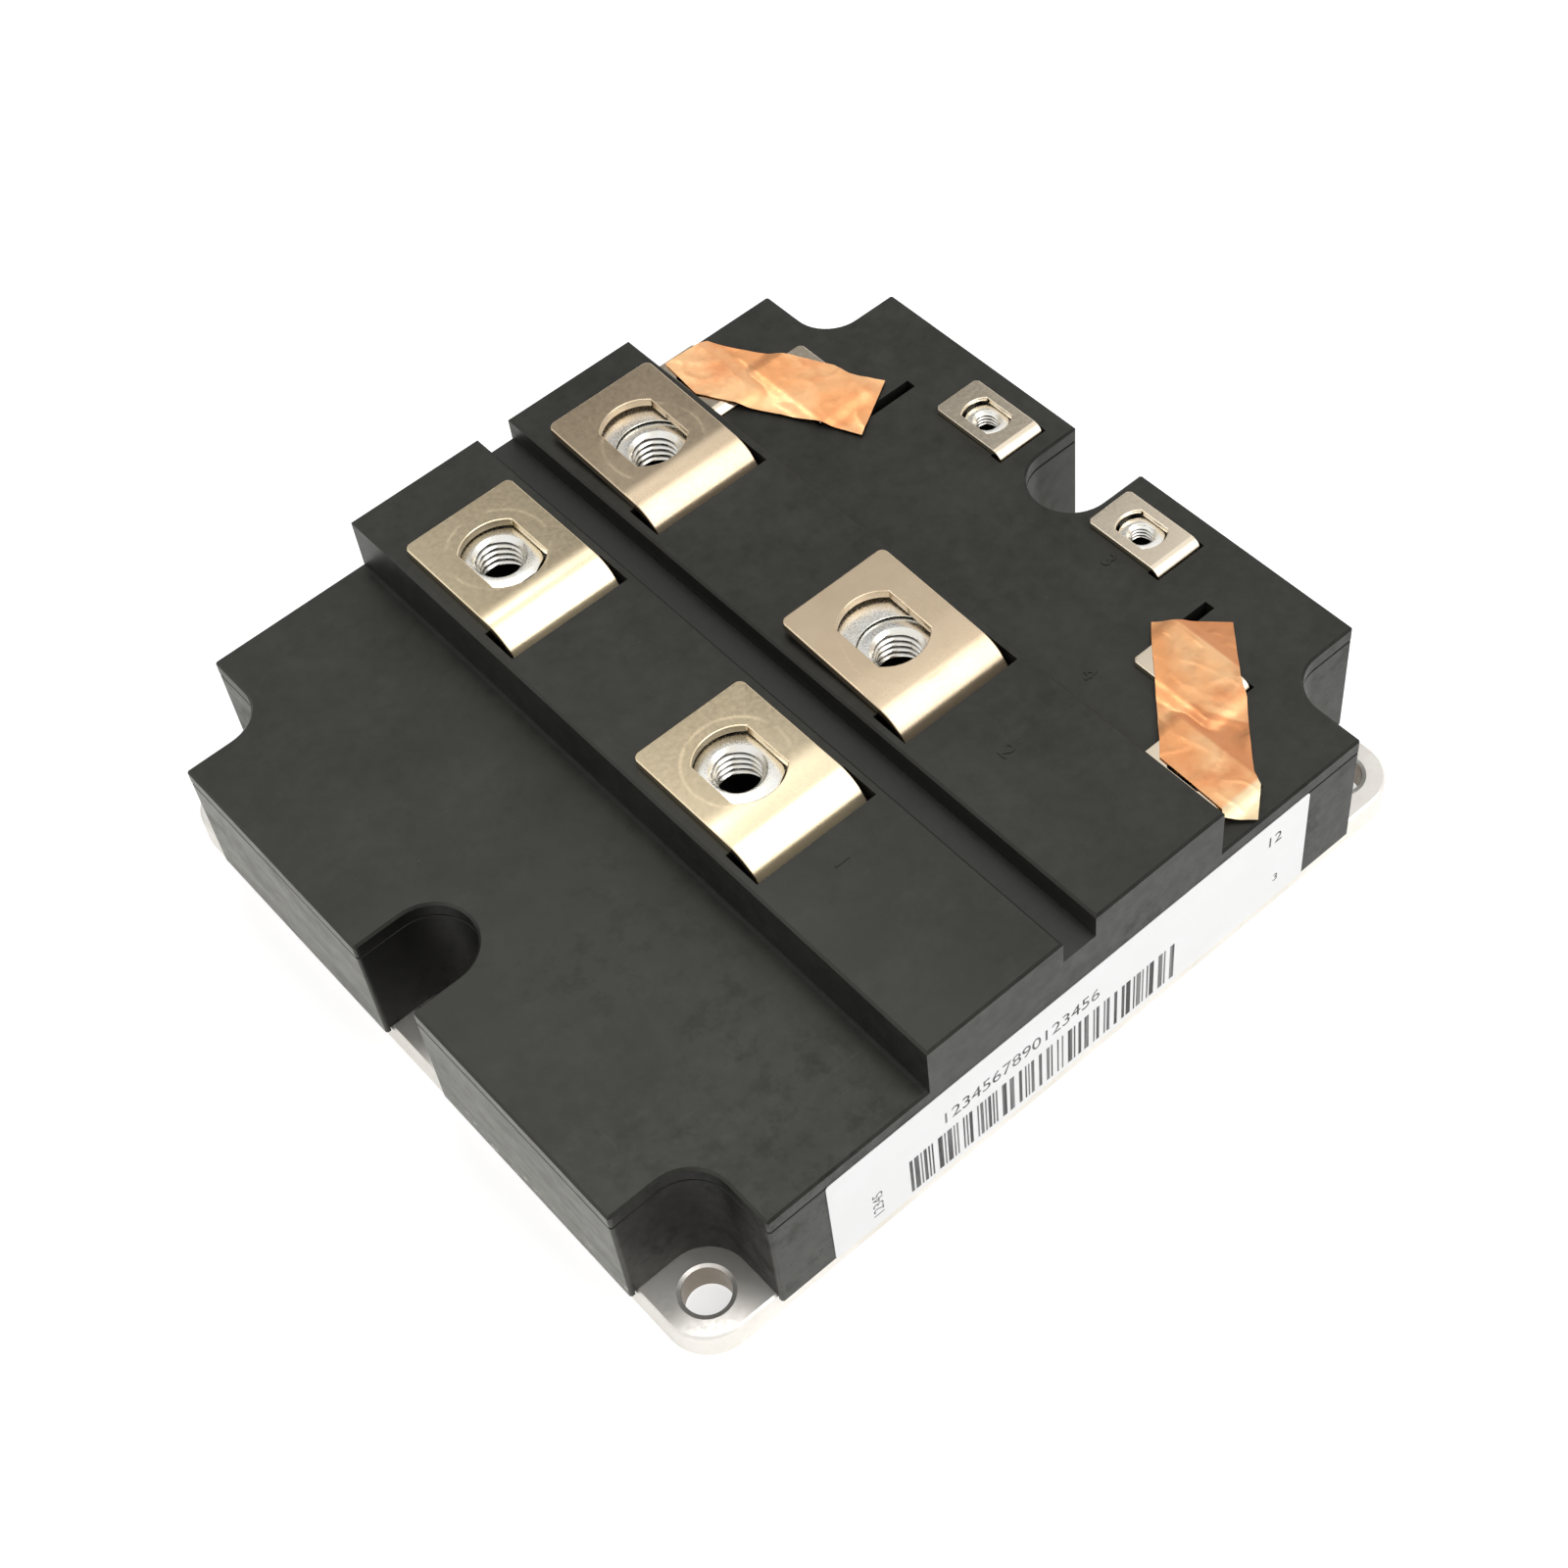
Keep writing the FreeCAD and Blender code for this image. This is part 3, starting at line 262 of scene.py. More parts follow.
def near_bends(s, tongues):
    """A share that grows from 0 on the flats of the tongues to 1 at their bends."""
    x, y = s.axes(s.position)[:2]
    share = 0.0
    for low, high in tongues:
        middle = 0.5 * (low + high) / MM
        start = low.y / MM
        reach = NEAR_REACH if middle.y < 0.0 else FAR_REACH
        across = s.spread(s.maths("ABSOLUTE", s.maths("SUBTRACT", x, middle.x)),
                          TONGUE_HALF_WIDTH + 1.0, TONGUE_HALF_WIDTH + 0.5)
        along = s.product(s.spread(y, start + reach, start + BEND_DEPTH, smooth=True),
                          s.spread(y, start - 1.0, start - 0.5))
        share = s.maths("MAXIMUM", share, s.product(across, along))
    return share


def darker(colour, share):
    return tuple(share * part for part in colour)


def plated_metal(name, colour, stain, rough=(0.15, 0.23), metallic=1.0, rings=(), tongues=(), holes=()):
    """Satin nickel plate: cloudy tarnish, handling specks, hairlines and pressed ring marks, with
    painted shade on the far wall of each tongue's hole.
    Tongues sink softly towards their bends. Fixing holes have a broken edge and painted shade in the
    bore."""
    ring_radius = 7.9
    s = Shader(name)
    normal_y, normal_z = s.axes(s.normal)[1:]
    clouds = s.noise(0.09, 4.0, 0.6)
    fine = s.noise(1.3, 4.0, 0.6, shift=(3.0, 17.0, 5.0))
    tarnish = s.maths("ADD", s.product(s.spread(clouds, 0.4, 0.72), 0.6),
                      s.product(s.spread(fine, 0.45, 0.8), 0.25))
    base = s.mix(tarnish, colour, stain)
    spots = s.spread(s.noise(2.4, 2.0, 0.5, shift=(1.0, 2.0, 3.0)), 0.74, 0.80)
    base = s.mix(s.product(spots, 0.22), base, darker(stain, 0.6))
    hairs = s.noise(2.2, 3.0, 0.6, stretch=(0.16, 1.6, 1.0))
    roughness = s.maths("ADD", s.spread(fine, 0.3, 0.75, *rough), s.product(spots, 0.10))
    normal = s.bump(hairs, 0.004, 0.12)
    for x, y in rings:
        away = s.from_axis(x, y)
        from_ring = s.maths("ABSOLUTE", s.maths("SUBTRACT", away, ring_radius))
        broken = s.spread(s.noise(0.2, 2.0, shift=(x, y, 4.0)), 0.38, 0.6)
        mark = s.product(s.spread(from_ring, 0.4, 0.1), broken)
        roughness = s.maths("ADD", roughness, s.product(mark, 0.10))
        base = s.mix(s.product(mark, 0.25), base, darker(stain, 0.75))
        # Painted shade on the far wall of the tongue's hole round each nut.
        shaded_far_wall = s.product(s.spread(away, ring_radius - 0.3, ring_radius - 0.7),
                             s.spread(normal_y, -0.25, -0.6), s.spread(normal_z, 0.6, 0.3))
        base = s.mix(s.product(shaded_far_wall, 0.85), base, darker(stain, 0.22))
    for x, y in holes:
        away = s.from_axis(x, y)
        normal = s.bump(s.spread(away, FIXING_HOLE_RADIUS, FIXING_HOLE_RADIUS + 0.65), 0.35, 0.8,
                        under=normal)
        # Painted shade inside the bore of each fixing hole.
        shaded_bore = s.product(s.spread(away, FIXING_HOLE_RADIUS + 0.12, FIXING_HOLE_RADIUS + 0.04),
                           s.spread(s.maths("ABSOLUTE", normal_z), 0.5, 0.3))
        base = s.mix(shaded_bore, base, (0.34, 0.29, 0.23))
    if tongues:
        near = near_bends(s, tongues)
        sink = s.maths3("SCALE", (0.0, -0.24, 0.0), scale=near)
        normal = s.maths3("NORMALIZE", s.maths3("ADD", normal, sink))
        foot_of_bend = s.spread(normal_y, -0.70, -0.98, smooth=True)
        metallic = s.maths("SUBTRACT", metallic, s.product(foot_of_bend, 0.55))
        roughness = s.maths("ADD", roughness, s.product(foot_of_bend, 0.25))
        roughness = s.maths("ADD", roughness, s.product(near, 0.10))
    s.set(Base_Color=base, Metallic=metallic, Roughness=roughness, Normal=normal)
    return s.material


def zinc_steel(name, threads):
    """Bright plated nut with a slight yellow tint, tool marks and painted shade in the thread roots.
    Each row of threads has the nuts' places, the radii where a root begins and is full, and its top."""
    s = Shader(name)
    tone = s.spread(s.noise(0.5, 3.0), 0.35, 0.7)
    base = s.mix(tone, (0.95, 0.94, 0.90), (0.90, 0.86, 0.76))
    for places, start, end, below in threads:
        away = s.from_axis(*places[0])
        for x, y in places[1:]:
            away = s.maths("MINIMUM", away, s.from_axis(x, y))
        # Painted shade in the thread roots, below where the thread begins.
        root = s.product(s.spread(away, start, end), s.spread(away, end + 0.45, end + 0.4),
                         s.spread(s.axes(s.position)[2], below, below - 0.1))
        base = s.mix(root, base, (0.07, 0.065, 0.06))
    wear = s.noise(3.0, 3.0)
    s.set(Base_Color=base, Metallic=1.0, Roughness=s.spread(wear, 0.3, 0.7, 0.20, 0.36),
          Normal=s.bump(wear, 0.01, 0.4))
    return s.material


def copper_foil(name, far_tongue, near_tongue):
    """Pressed copper tape: soft paler and darker orange patches with a few shallow dents. The
    near strip has painted shade where it leaves its tongues sideways and a painted highlight over the
    last edge."""
    s = Shader(name)
    x, y = s.axes(s.position)[:2]
    far_left, far_front = far_tongue[0].x / MM, far_tongue[0].y / MM
    far_right = far_tongue[1].x / MM
    near_right, near_front = near_tongue[1].x / MM, near_tongue[0].y / MM
    near_strip = s.spread(y, 0.0, -2.0)

    patches = s.spread(s.noise(0.10, 3.0, 0.5), 0.40, 0.60)
    base = s.mix(patches, (0.93, 0.43, 0.18), (0.98, 0.59, 0.30))
    stains = s.spread(s.noise(0.12, 4.0, 0.6, shift=(40.0, 8.0, 1.0)), 0.5, 0.66, 0.0, 0.7)
    base = s.mix(stains, base, (0.84, 0.32, 0.13))
    # Painted shade on the folds where the near strip dips beside and between its tongues.
    beside = s.spread(x, far_right + 0.6, far_right + 1.1)
    slant = s.spread(y, far_front + 1.0, far_front - 9.0, far_left + 0.5, far_left + 6.5)
    between = s.product(s.spread(s.maths("SUBTRACT", x, slant), 0.3, -0.3),
                        s.spread(x, near_right + 0.1, near_right + 0.6),
                        s.spread(y, far_front + 4.0, far_front + 2.4))
    shaded_folds = s.product(s.maths("MAXIMUM", beside, between), near_strip)
    base = s.mix(s.product(shaded_folds, 0.75), base, (0.66, 0.25, 0.10))
    # Painted highlight: the near strip is paler over the last tongue edge.
    lit_last_edge = s.product(s.spread(y, near_front + 0.9, near_front + 0.2), near_strip)
    base = s.mix(s.product(lit_last_edge, 0.8), base, (1.0, 0.85, 0.55))

    soft = s.bump(s.noise(0.30, 3.0, 0.5, shift=(13.0, 2.0, 7.0)), 0.30, 0.30)
    wrinkled = s.bump(s.noise(1.6, 3.0), 0.03, 0.35, under=soft)
    lean = s.maths3("SCALE", (0.0, -0.16, 0.0), scale=s.spread(y, 10.0, 20.0))
    s.set(Base_Color=base, Metallic=0.9,
          Roughness=s.spread(s.noise(0.5, 3.0), 0.3, 0.7, 0.30, 0.44),
          Normal=s.maths3("NORMALIZE", s.maths3("ADD", wrinkled, lean)))
    return s.material


def label_film(name):
    """White printed film, slightly creased, with faint tints and specks of dirt."""
    s = Shader(name)
    tint = s.spread(s.noise(0.12, 4.0), 0.35, 0.75)
    base = s.mix(tint, grey(1.0), (0.97, 0.97, 0.955))
    dirt = s.spread(s.noise(1.5, 3.0, shift=(8.0, 8.0, 8.0)), 0.70, 0.82)
    base = s.mix(s.product(dirt, 0.35), base, (0.42, 0.41, 0.38))
    s.set(Base_Color=base, Roughness=s.spread(s.noise(0.8), 0.3, 0.7, 0.32, 0.45),
          Normal=s.bump(s.noise(0.15, 2.0), 0.08, 0.2))
    return s.material


def printing_ink(name):
    """Black thermal print that fades from place to place along the label."""
    s = Shader(name)
    fading = s.spread(s.noise(0.75, 3.0, 0.7, stretch=(1.0, 0.0, 0.03)), 0.42, 0.66)
    ink = s.mix(s.spread(s.noise(2.5, 3.0), 0.55, 0.8), grey(0.015), grey(0.06))
    s.set(Base_Color=s.mix(fading, ink, grey(0.28)),
          Roughness=s.spread(s.noise(1.2), 0.3, 0.7, 0.45, 0.6))
    return s.material


def plain_surface(name, light, dark, rough, metallic=0.0, per_mm=0.4):
    """Inner pieces: two tones, varied roughness and a fine grain."""
    s = Shader(name)
    tone = s.noise(per_mm, 4.0)
    s.set(Base_Color=s.mix(s.spread(tone, 0.35, 0.7), light, dark), Metallic=metallic,
          Roughness=s.spread(tone, 0.3, 0.7, rough - 0.06, rough + 0.06),
          Normal=s.bump(s.noise(4.0 * per_mm), 0.01, 0.4))
    return s.material


def clear_gel(name):
    """Soft clear silicone with a slightly wavy surface and uneven haze."""
    s = Shader(name)
    s.set(Base_Color=(0.92, 0.93, 0.90, 1.0), IOR=1.41, Transmission_Weight=0.9,
          Roughness=s.spread(s.noise(0.3, 3.0), 0.3, 0.7, 0.06, 0.16),
          Normal=s.bump(s.noise(0.12, 2.0), 0.2, 0.3))
    return s.material


# Pieces of the frame and new pieces

MERGE_DISTANCE = 1e-6
SHARP_ANGLE = math.radians(30.0)
SHARP_NUT_ANGLE = math.radians(28.0)
SHARP_FOIL_ANGLE = math.radians(50.0)
FLAT_ANGLE = math.radians(0.5)


def dress(node_name, material, bevel_mm=0.0):
    """Give a CAD node its material, merged faces and slightly rounded edges."""
    piece = NODES[node_name]
    piece.data.materials.clear()
    piece.data.materials.append(material)
    weld = piece.modifiers.new("Weld", "WELD")
    weld.merge_threshold = MERGE_DISTANCE
    if bevel_mm:
        merge = piece.modifiers.new("Merge", "DECIMATE")
        merge.decimate_type = "DISSOLVE"
        merge.angle_limit = FLAT_ANGLE
        bevel = piece.modifiers.new("Bevel", "BEVEL")
        bevel.width = bevel_mm * MM
        bevel.segments = 2
        bevel.limit_method = "ANGLE"
        bevel.angle_limit = SHARP_ANGLE
        piece.modifiers.new("Normals", "WEIGHTED_NORMAL").keep_sharp = True
    else:
        piece.modifiers.new("Split", "EDGE_SPLIT").split_angle = SHARP_ANGLE
    for polygon in piece.data.polygons:
        polygon.use_smooth = True


def new_piece(name, mesh, material):
    """A piece of the script's own, on the module's one body."""
    piece = bpy.data.objects.new(name, mesh)
    bpy.context.scene.collection.objects.link(piece)
    mesh.materials.clear()
    mesh.materials.append(material)
    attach(piece, "root")
    return piece


# Threaded nuts and their seats

TURN_STEPS = 60
THREAD_STEPS = 8
THREAD_FLAT = 0.125
THREAD_FLANK = 0.375
THREAD_DEPTH = 0.54
NUT_SHOULDER, NUT_CORNER_SLOPE = 0.475, 0.5
TURN = [2 * math.pi * step / TURN_STEPS for step in range(TURN_STEPS)]


def thread_height(phase):
    """Height of a 60 degree thread above its root, from 0 to 1: root, flank, crest and flank."""
    phase %= 1.0
    if phase < THREAD_FLAT:
        return 0.0
    if phase < THREAD_FLAT + THREAD_FLANK:
        return (phase - THREAD_FLAT) / THREAD_FLANK
    if phase < 2 * THREAD_FLAT + THREAD_FLANK:
        return 1.0
    return 1.0 - (phase - 2 * THREAD_FLAT - THREAD_FLANK) / THREAD_FLANK


def turned_ring(center, radius_at, height_at):
    """Points round an upright axis, with radius and height given for each angle."""
    return [mm(center[0] + radius_at(a) * math.cos(a), center[1] + radius_at(a) * math.sin(a),
               height_at(a)) for a in TURN]


def nut_rings(center, bottom, flats, height, bore, pitch, mouth):
    """Rings of points for one nut: up the threaded bore, out over the top and down outside."""
    rings = []
    top = bottom + height
    depth = THREAD_DEPTH * pitch
    rows = int(round(height / pitch * THREAD_STEPS))

    for row in range(rows + 1):
        z = bottom + height * row / rows
        from_end = min(z - bottom, top - z)

        def radius(a, z=z, from_end=from_end):
            thread = bore / 2 + depth * (1 - thread_height((z - bottom) / pitch - a / (2 * math.pi)))
            return max(thread, mouth / 2 - from_end)

        rings.append(turned_ring(center, radius, lambda a, z=z: z))

    def hexagon(a):
        return flats / 2 / math.cos((a + math.pi / 6) % (math.pi / 3) - math.pi / 6)

    shoulder = NUT_SHOULDER * flats

    def sloped(a):
        return top - max(0.0, hexagon(a) - shoulder) * NUT_CORNER_SLOPE

    rings.append(turned_ring(center, lambda a: shoulder, lambda a: top))
    rings.append(turned_ring(center, hexagon, sloped))
    rings.append(turned_ring(center, hexagon, lambda a: bottom))
    return rings


def ring_faces(start, count):
    """Faces between rings that follow each other, the last one joined to the first."""
    faces = []
    for row in range(count):
        low, high = start + row * TURN_STEPS, start + (row + 1) % count * TURN_STEPS
        for step in range(TURN_STEPS):
            after = (step + 1) % TURN_STEPS
            faces.append((low + step, high + step, high + after, low + after))
    return faces


def nut_mesh(name, places, **sizes):
    """One mesh with a threaded nut at each place."""
    mesh = bpy.data.meshes.new(name)
    points, faces = [], []
    for center in places:
        rings = nut_rings(center, **sizes)
        faces += ring_faces(len(points), len(rings))
        for ring in rings:
            points += ring
    mesh.from_pydata(points, [], faces)
    mesh.update()
    shape = bmesh.new()
    shape.from_mesh(mesh)
    bmesh.ops.recalc_face_normals(shape, faces=shape.faces)
    shape.to_mesh(mesh)
    shape.free()
    return mesh


# Node, pitch, bore, mouth of the bore and width over the flats
NUTS = (("m8_nuts", 1.25, 6.8, 8.6, 13.0), ("m4_nuts", 0.7, 3.3, 4.5, 7.0))


def add_nuts(material):
    """Threaded nuts in the places of the plain ones."""
    for node_name, pitch, bore, mouth, flats in NUTS:
        low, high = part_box(node_name)
        places = node_islands(NODES[node_name])
        mesh = nut_mesh(node_name + "_threaded", places, bottom=low.z / MM, flats=flats,
                        height=(high.z - low.z) / MM, bore=bore, pitch=pitch, mouth=mouth)
        nuts = new_piece(node_name + "_threaded", mesh, material)
        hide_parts(node_name)
        for polygon in mesh.polygons:
            polygon.use_smooth = True
        nuts.modifiers.new("Split", "EDGE_SPLIT").split_angle = SHARP_NUT_ANGLE


SEAT_HALF_WIDTH, SEAT_BACK, SEAT_FRONT = 9.0, 12.6, 8.0
SEAT_HOLE, SEAT_THICKNESS, SEAT_CLEARANCE = 6.2, 0.2, 0.02
TINY = 1e-6


def add_seat(name, center, material):
    """The flat plate that lies on the rib round a nut, seen through the hole of a lifted tongue."""
    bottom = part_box("housing_lid")[1].z / MM + SEAT_CLEARANCE
    top = bottom + SEAT_THICKNESS

    def outline(angle):
        reach_x = SEAT_HALF_WIDTH / max(abs(math.cos(angle)), TINY)
        limit_y = SEAT_BACK if math.sin(angle) > 0 else SEAT_FRONT
        return min(reach_x, limit_y / max(abs(math.sin(angle)), TINY))

    def bore(angle):
        return SEAT_HOLE

    corners = ((bore, bottom), (bore, top), (outline, top), (outline, bottom))
    points = []
    for radius_at, z in corners:
        points += turned_ring(center, radius_at, lambda a, z=z: z)
    mesh = bpy.data.meshes.new(name)
    mesh.from_pydata(points, [], ring_faces(0, len(corners)))
    mesh.update()
    new_piece(name, mesh, material)


def node_islands(node):
    """Centres, in millimetres, of the separate solids in a CAD node."""
    shape = bmesh.new()
    shape.from_mesh(node.data)
    bmesh.ops.remove_doubles(shape, verts=shape.verts, dist=MERGE_DISTANCE)
    left, places = set(shape.verts), []
    while left:
        stack, island = [left.pop()], []
        while stack:
            vertex = stack.pop()
            island.append(vertex.co.copy())
            for edge in vertex.link_edges:
                other = edge.other_vert(vertex)
                if other in left:
                    left.remove(other)
                    stack.append(other)
        xs, ys = [p.x for p in island], [p.y for p in island]
        places.append(((min(xs) + max(xs)) / 2 / MM, (min(ys) + max(ys)) / 2 / MM))
    shape.free()
    return sorted(places)


# Crumpled foil

FOIL_GAP, FOIL_DROP, FOIL_RUN, FOIL_THICKNESS = 0.1, 0.75, 2.8, 0.12
FOLD_SPACING, CREASES_PER_FOLD, WAVES_PER_FOLD = 9.0, 1.9, 1.3
FOLD_LIFT, CREASE_LIFT, WAVE_LIFT = 0.22, 0.06, 0.16
FOLD_NARROWNESS, CREASE_NARROWNESS = 3.2, 5.0
FOLD_ON_TONGUE = 0.3


def drape_height(point, tongues, seed):
    """Height in metres of foil pressed flat on the tongues, with the deck's dip between them."""
    away = min(math.hypot(max(low.x - point.x, 0.0, point.x - high.x),
                          max(low.y - point.y, 0.0, point.y - high.y)) for low, high in tongues)
    slope = min(1.0, away / (FOIL_RUN * MM))
    sag = slope * slope * (3.0 - 2.0 * slope)
    place = Vector((point.x, point.y, 0.0)) / (FOLD_SPACING * MM) + Vector((0.0, 0.0, seed))
    creased = place * CREASES_PER_FOLD + Vector((seed, 4.0, 1.0))
    fold = max(0.0, 1.0 - FOLD_NARROWNESS * abs(noise.noise(place))) ** 2
    crease = max(0.0, 1.0 - CREASE_NARROWNESS * abs(noise.noise(creased))) ** 2
    waves = 0.5 + 0.5 * noise.noise(place * WAVES_PER_FOLD + Vector((2.0, seed, 8.0)))
    fold *= FOLD_ON_TONGUE + (1.0 - FOLD_ON_TONGUE) * sag
    lift = FOLD_LIFT * fold + CREASE_LIFT * crease + WAVE_LIFT * waves
    return tongues[0][1].z + (FOIL_GAP - FOIL_DROP * sag + lift) * MM


def add_foil(node_name, tongue_names, material, seed):
    """The CAD strip's outline as a fine sheet, draped over the terminals that it joins."""
    tongues = [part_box(name) for name in tongue_names]
    shape = bmesh.new()
    shape.from_mesh(NODES[node_name].data)
    bmesh.ops.remove_doubles(shape, verts=shape.verts, dist=MERGE_DISTANCE)
    bmesh.ops.recalc_face_normals(shape, faces=shape.faces)
    sides_and_bottom = [face for face in shape.faces if face.normal.z < 0.3]
    bmesh.ops.delete(shape, geom=sides_and_bottom, context="FACES")
    for _ in range(2):
        bmesh.ops.subdivide_edges(shape, edges=shape.edges, cuts=3, use_grid_fill=True)
    for vertex in shape.verts:
        vertex.co.z = drape_height(vertex.co, tongues, seed)
    mesh = bpy.data.meshes.new(node_name + "_creased")
    shape.to_mesh(mesh)
    shape.free()
    for polygon in mesh.polygons:
        polygon.use_smooth = True
    foil = new_piece(node_name + "_creased", mesh, material)
    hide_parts(node_name)
    solid = foil.modifiers.new("Thickness", "SOLIDIFY")
    solid.thickness = FOIL_THICKNESS * MM
    solid.offset = 1.0
    foil.modifiers.new("Split", "EDGE_SPLIT").split_angle = SHARP_FOIL_ANGLE


# Print and numerals

SIZE_PER_DIGIT_HEIGHT = 1.38


def digits_mesh(name, text, height, depth):
    """Plain numerals as a mesh, lying in XY with their lower left corner at the origin."""
    curve = bpy.data.curves.new(name, "FONT")
    curve.body = text
    curve.size = height * SIZE_PER_DIGIT_HEIGHT * MM
    curve.extrude = depth / 2 * MM
    curve.resolution_u = 4
    holder = bpy.data.objects.new(name + "_curve", curve)
    bpy.context.scene.collection.objects.link(holder)
    bpy.context.view_layer.update()
    mesh = bpy.data.meshes.new_from_object(holder.evaluated_get(bpy.context.evaluated_depsgraph_get()))
    bpy.data.objects.remove(holder)
    mesh.name = name
    return mesh


def add_digits(name, text, height, depth, matrix, material):
    mesh = digits_mesh(name, text, height, depth)
    mesh.transform(matrix)
    new_piece(name, mesh, material)


MARK_HEIGHT, MARK_DEPTH = 2.6, 0.24
SMALL_TONGUE_THICKNESS = 1.0


def add_raised_marks(material):
    """Moulded terminal numbers, read with the label side to the right."""
    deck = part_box("aux_terminal_1")[1].z / MM - SMALL_TONGUE_THICKNESS
    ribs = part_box("housing_lid")[1].z / MM
    turn = Matrix.Rotation(-math.pi / 2, 4, "Z")
    places = ((-16.4, -34.0, ribs), (12.4, -36.0, ribs), (52.9, -15.2, deck), (35.4, -28.8, deck))
    for number, place in enumerate(places, start=1):
        add_digits("terminal_number_%d" % number, str(number), MARK_HEIGHT, MARK_DEPTH,
                   Matrix.Translation(mm(*place)) @ turn, material)


def label_matrix(x, z, turned=False):
    """Place and turn for print on the label, which faces -Y."""
    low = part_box("label")[0]
    upright = Matrix.Rotation(math.pi / 2, 4, "X")
    turn = Matrix.Rotation(math.pi / 2, 4, "Z") if turned else Matrix.Identity(4)
    return Matrix.Translation(mm(x, low.y / MM, z)) @ upright @ turn


BARS_LEFT, BARS_RIGHT, BARS_BOTTOM, BARS_TOP = -32.0, 18.0, 5.4, 13.9
BAR_WIDTHS = (0.28, 0.28, 0.56, 0.84)
BAR_GAPS = (0.3, 0.3, 0.6, 0.9)
BAR_SEED = 7
INK_LIFT = 0.012


def add_bars(material):
    """A made-up bar pattern of random widths."""
    chance = random.Random(BAR_SEED)
    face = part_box("label")[0].y / MM - INK_LIFT
    points, faces = [], []
    x = BARS_LEFT
    while x < BARS_RIGHT:
        width = chance.choice(BAR_WIDTHS)
        start = len(points)
        points += [mm(x, face, BARS_BOTTOM), mm(x + width, face, BARS_BOTTOM),
                   mm(x + width, face, BARS_TOP), mm(x, face, BARS_TOP)]
        faces.append((start, start + 1, start + 2, start + 3))
        x += width + chance.choice(BAR_GAPS)
    mesh = bpy.data.meshes.new("label_bars")
    mesh.from_pydata(points, [], faces)
    new_piece("label_bars", mesh, material)


# Piece, digits, height, X and Z of the lower left corner, and whether the line stands on end
LABEL_LINES = (
    ("label_line", "1234567890123456", 2.7, -26.0, 16.2, False),
    ("label_end_number", "12", 2.4, 36.5, 18.6, False),
    ("label_side_number", "12345", 1.9, -37.0, 6.3, True),
    ("label_corner_number", "3", 1.7, 38.6, 8.6, False))
INK_DEPTH = 0.02


def add_label_print(material):
    add_bars(material)
    for name, text, height, x, z, turned in LABEL_LINES:
        add_digits(name, text, height, INK_DEPTH, label_matrix(x, z, turned), material)


# Camera, lamps, world and floor

# Fitted to the corners of the case in the photograph. Angles are in degrees.
CAMERA_AZIMUTH = -33.89811
CAMERA_ELEVATION = 53.08096
CAMERA_ROLL = -8.43542
CAMERA_TARGET = (-3.30884, -6.02865, 15.0)
CAMERA_DISTANCE = 392.7414
CAMERA_LENS = 60.665
SENSOR_WIDTH = 36.0


def add_camera():
    """A camera at the photograph's viewing angle."""
    azimuth = math.radians(CAMERA_AZIMUTH)
    elevation = math.radians(CAMERA_ELEVATION)
    roll = math.radians(CAMERA_ROLL)
    back = Vector((math.sin(azimuth) * math.cos(elevation),
                   -math.cos(azimuth) * math.cos(elevation), math.sin(elevation)))
    right = Vector((math.cos(azimuth), math.sin(azimuth), 0.0))
    up = back.cross(right)
    across = math.cos(roll) * right + math.sin(roll) * up
    above = -math.sin(roll) * right + math.cos(roll) * up
    data = bpy.data.cameras.new("Camera")
    data.lens = CAMERA_LENS
    data.sensor_width = SENSOR_WIDTH
    data.clip_start = 0.01
    camera = bpy.data.objects.new("Camera", data)
    matrix = Matrix((across, above, back)).transposed().to_4x4()
    matrix.translation = mm(*CAMERA_TARGET) + back * CAMERA_DISTANCE * MM
    camera.matrix_world = matrix
    bpy.context.scene.collection.objects.link(camera)
    bpy.context.scene.camera = camera


def add_lamp(name, place, aim, width, height, power):
    """A softbox turned towards its aim. Places and sizes are in metres."""
    data = bpy.data.lights.new(name, "AREA")
    data.shape = "RECTANGLE"
    data.size = width
    data.size_y = height
    data.energy = power
    lamp = bpy.data.objects.new(name, data)
    lamp.location = place
    lamp.rotation_euler = (Vector(aim) - Vector(place)).to_track_quat("-Z", "Y").to_euler()
    bpy.context.scene.collection.objects.link(lamp)


WORLD_LIGHT = 0.78
GLOSS_LEVEL = 1.12
DIM_TOWARDS = (0.409, 0.599, 0.689)
DIM_LEVEL = 0.30
DIM_COSINES = (0.972, 0.9945)
BEHIND_LEVEL = 0.45
BEHIND_RANGE = (0.66, 0.84)


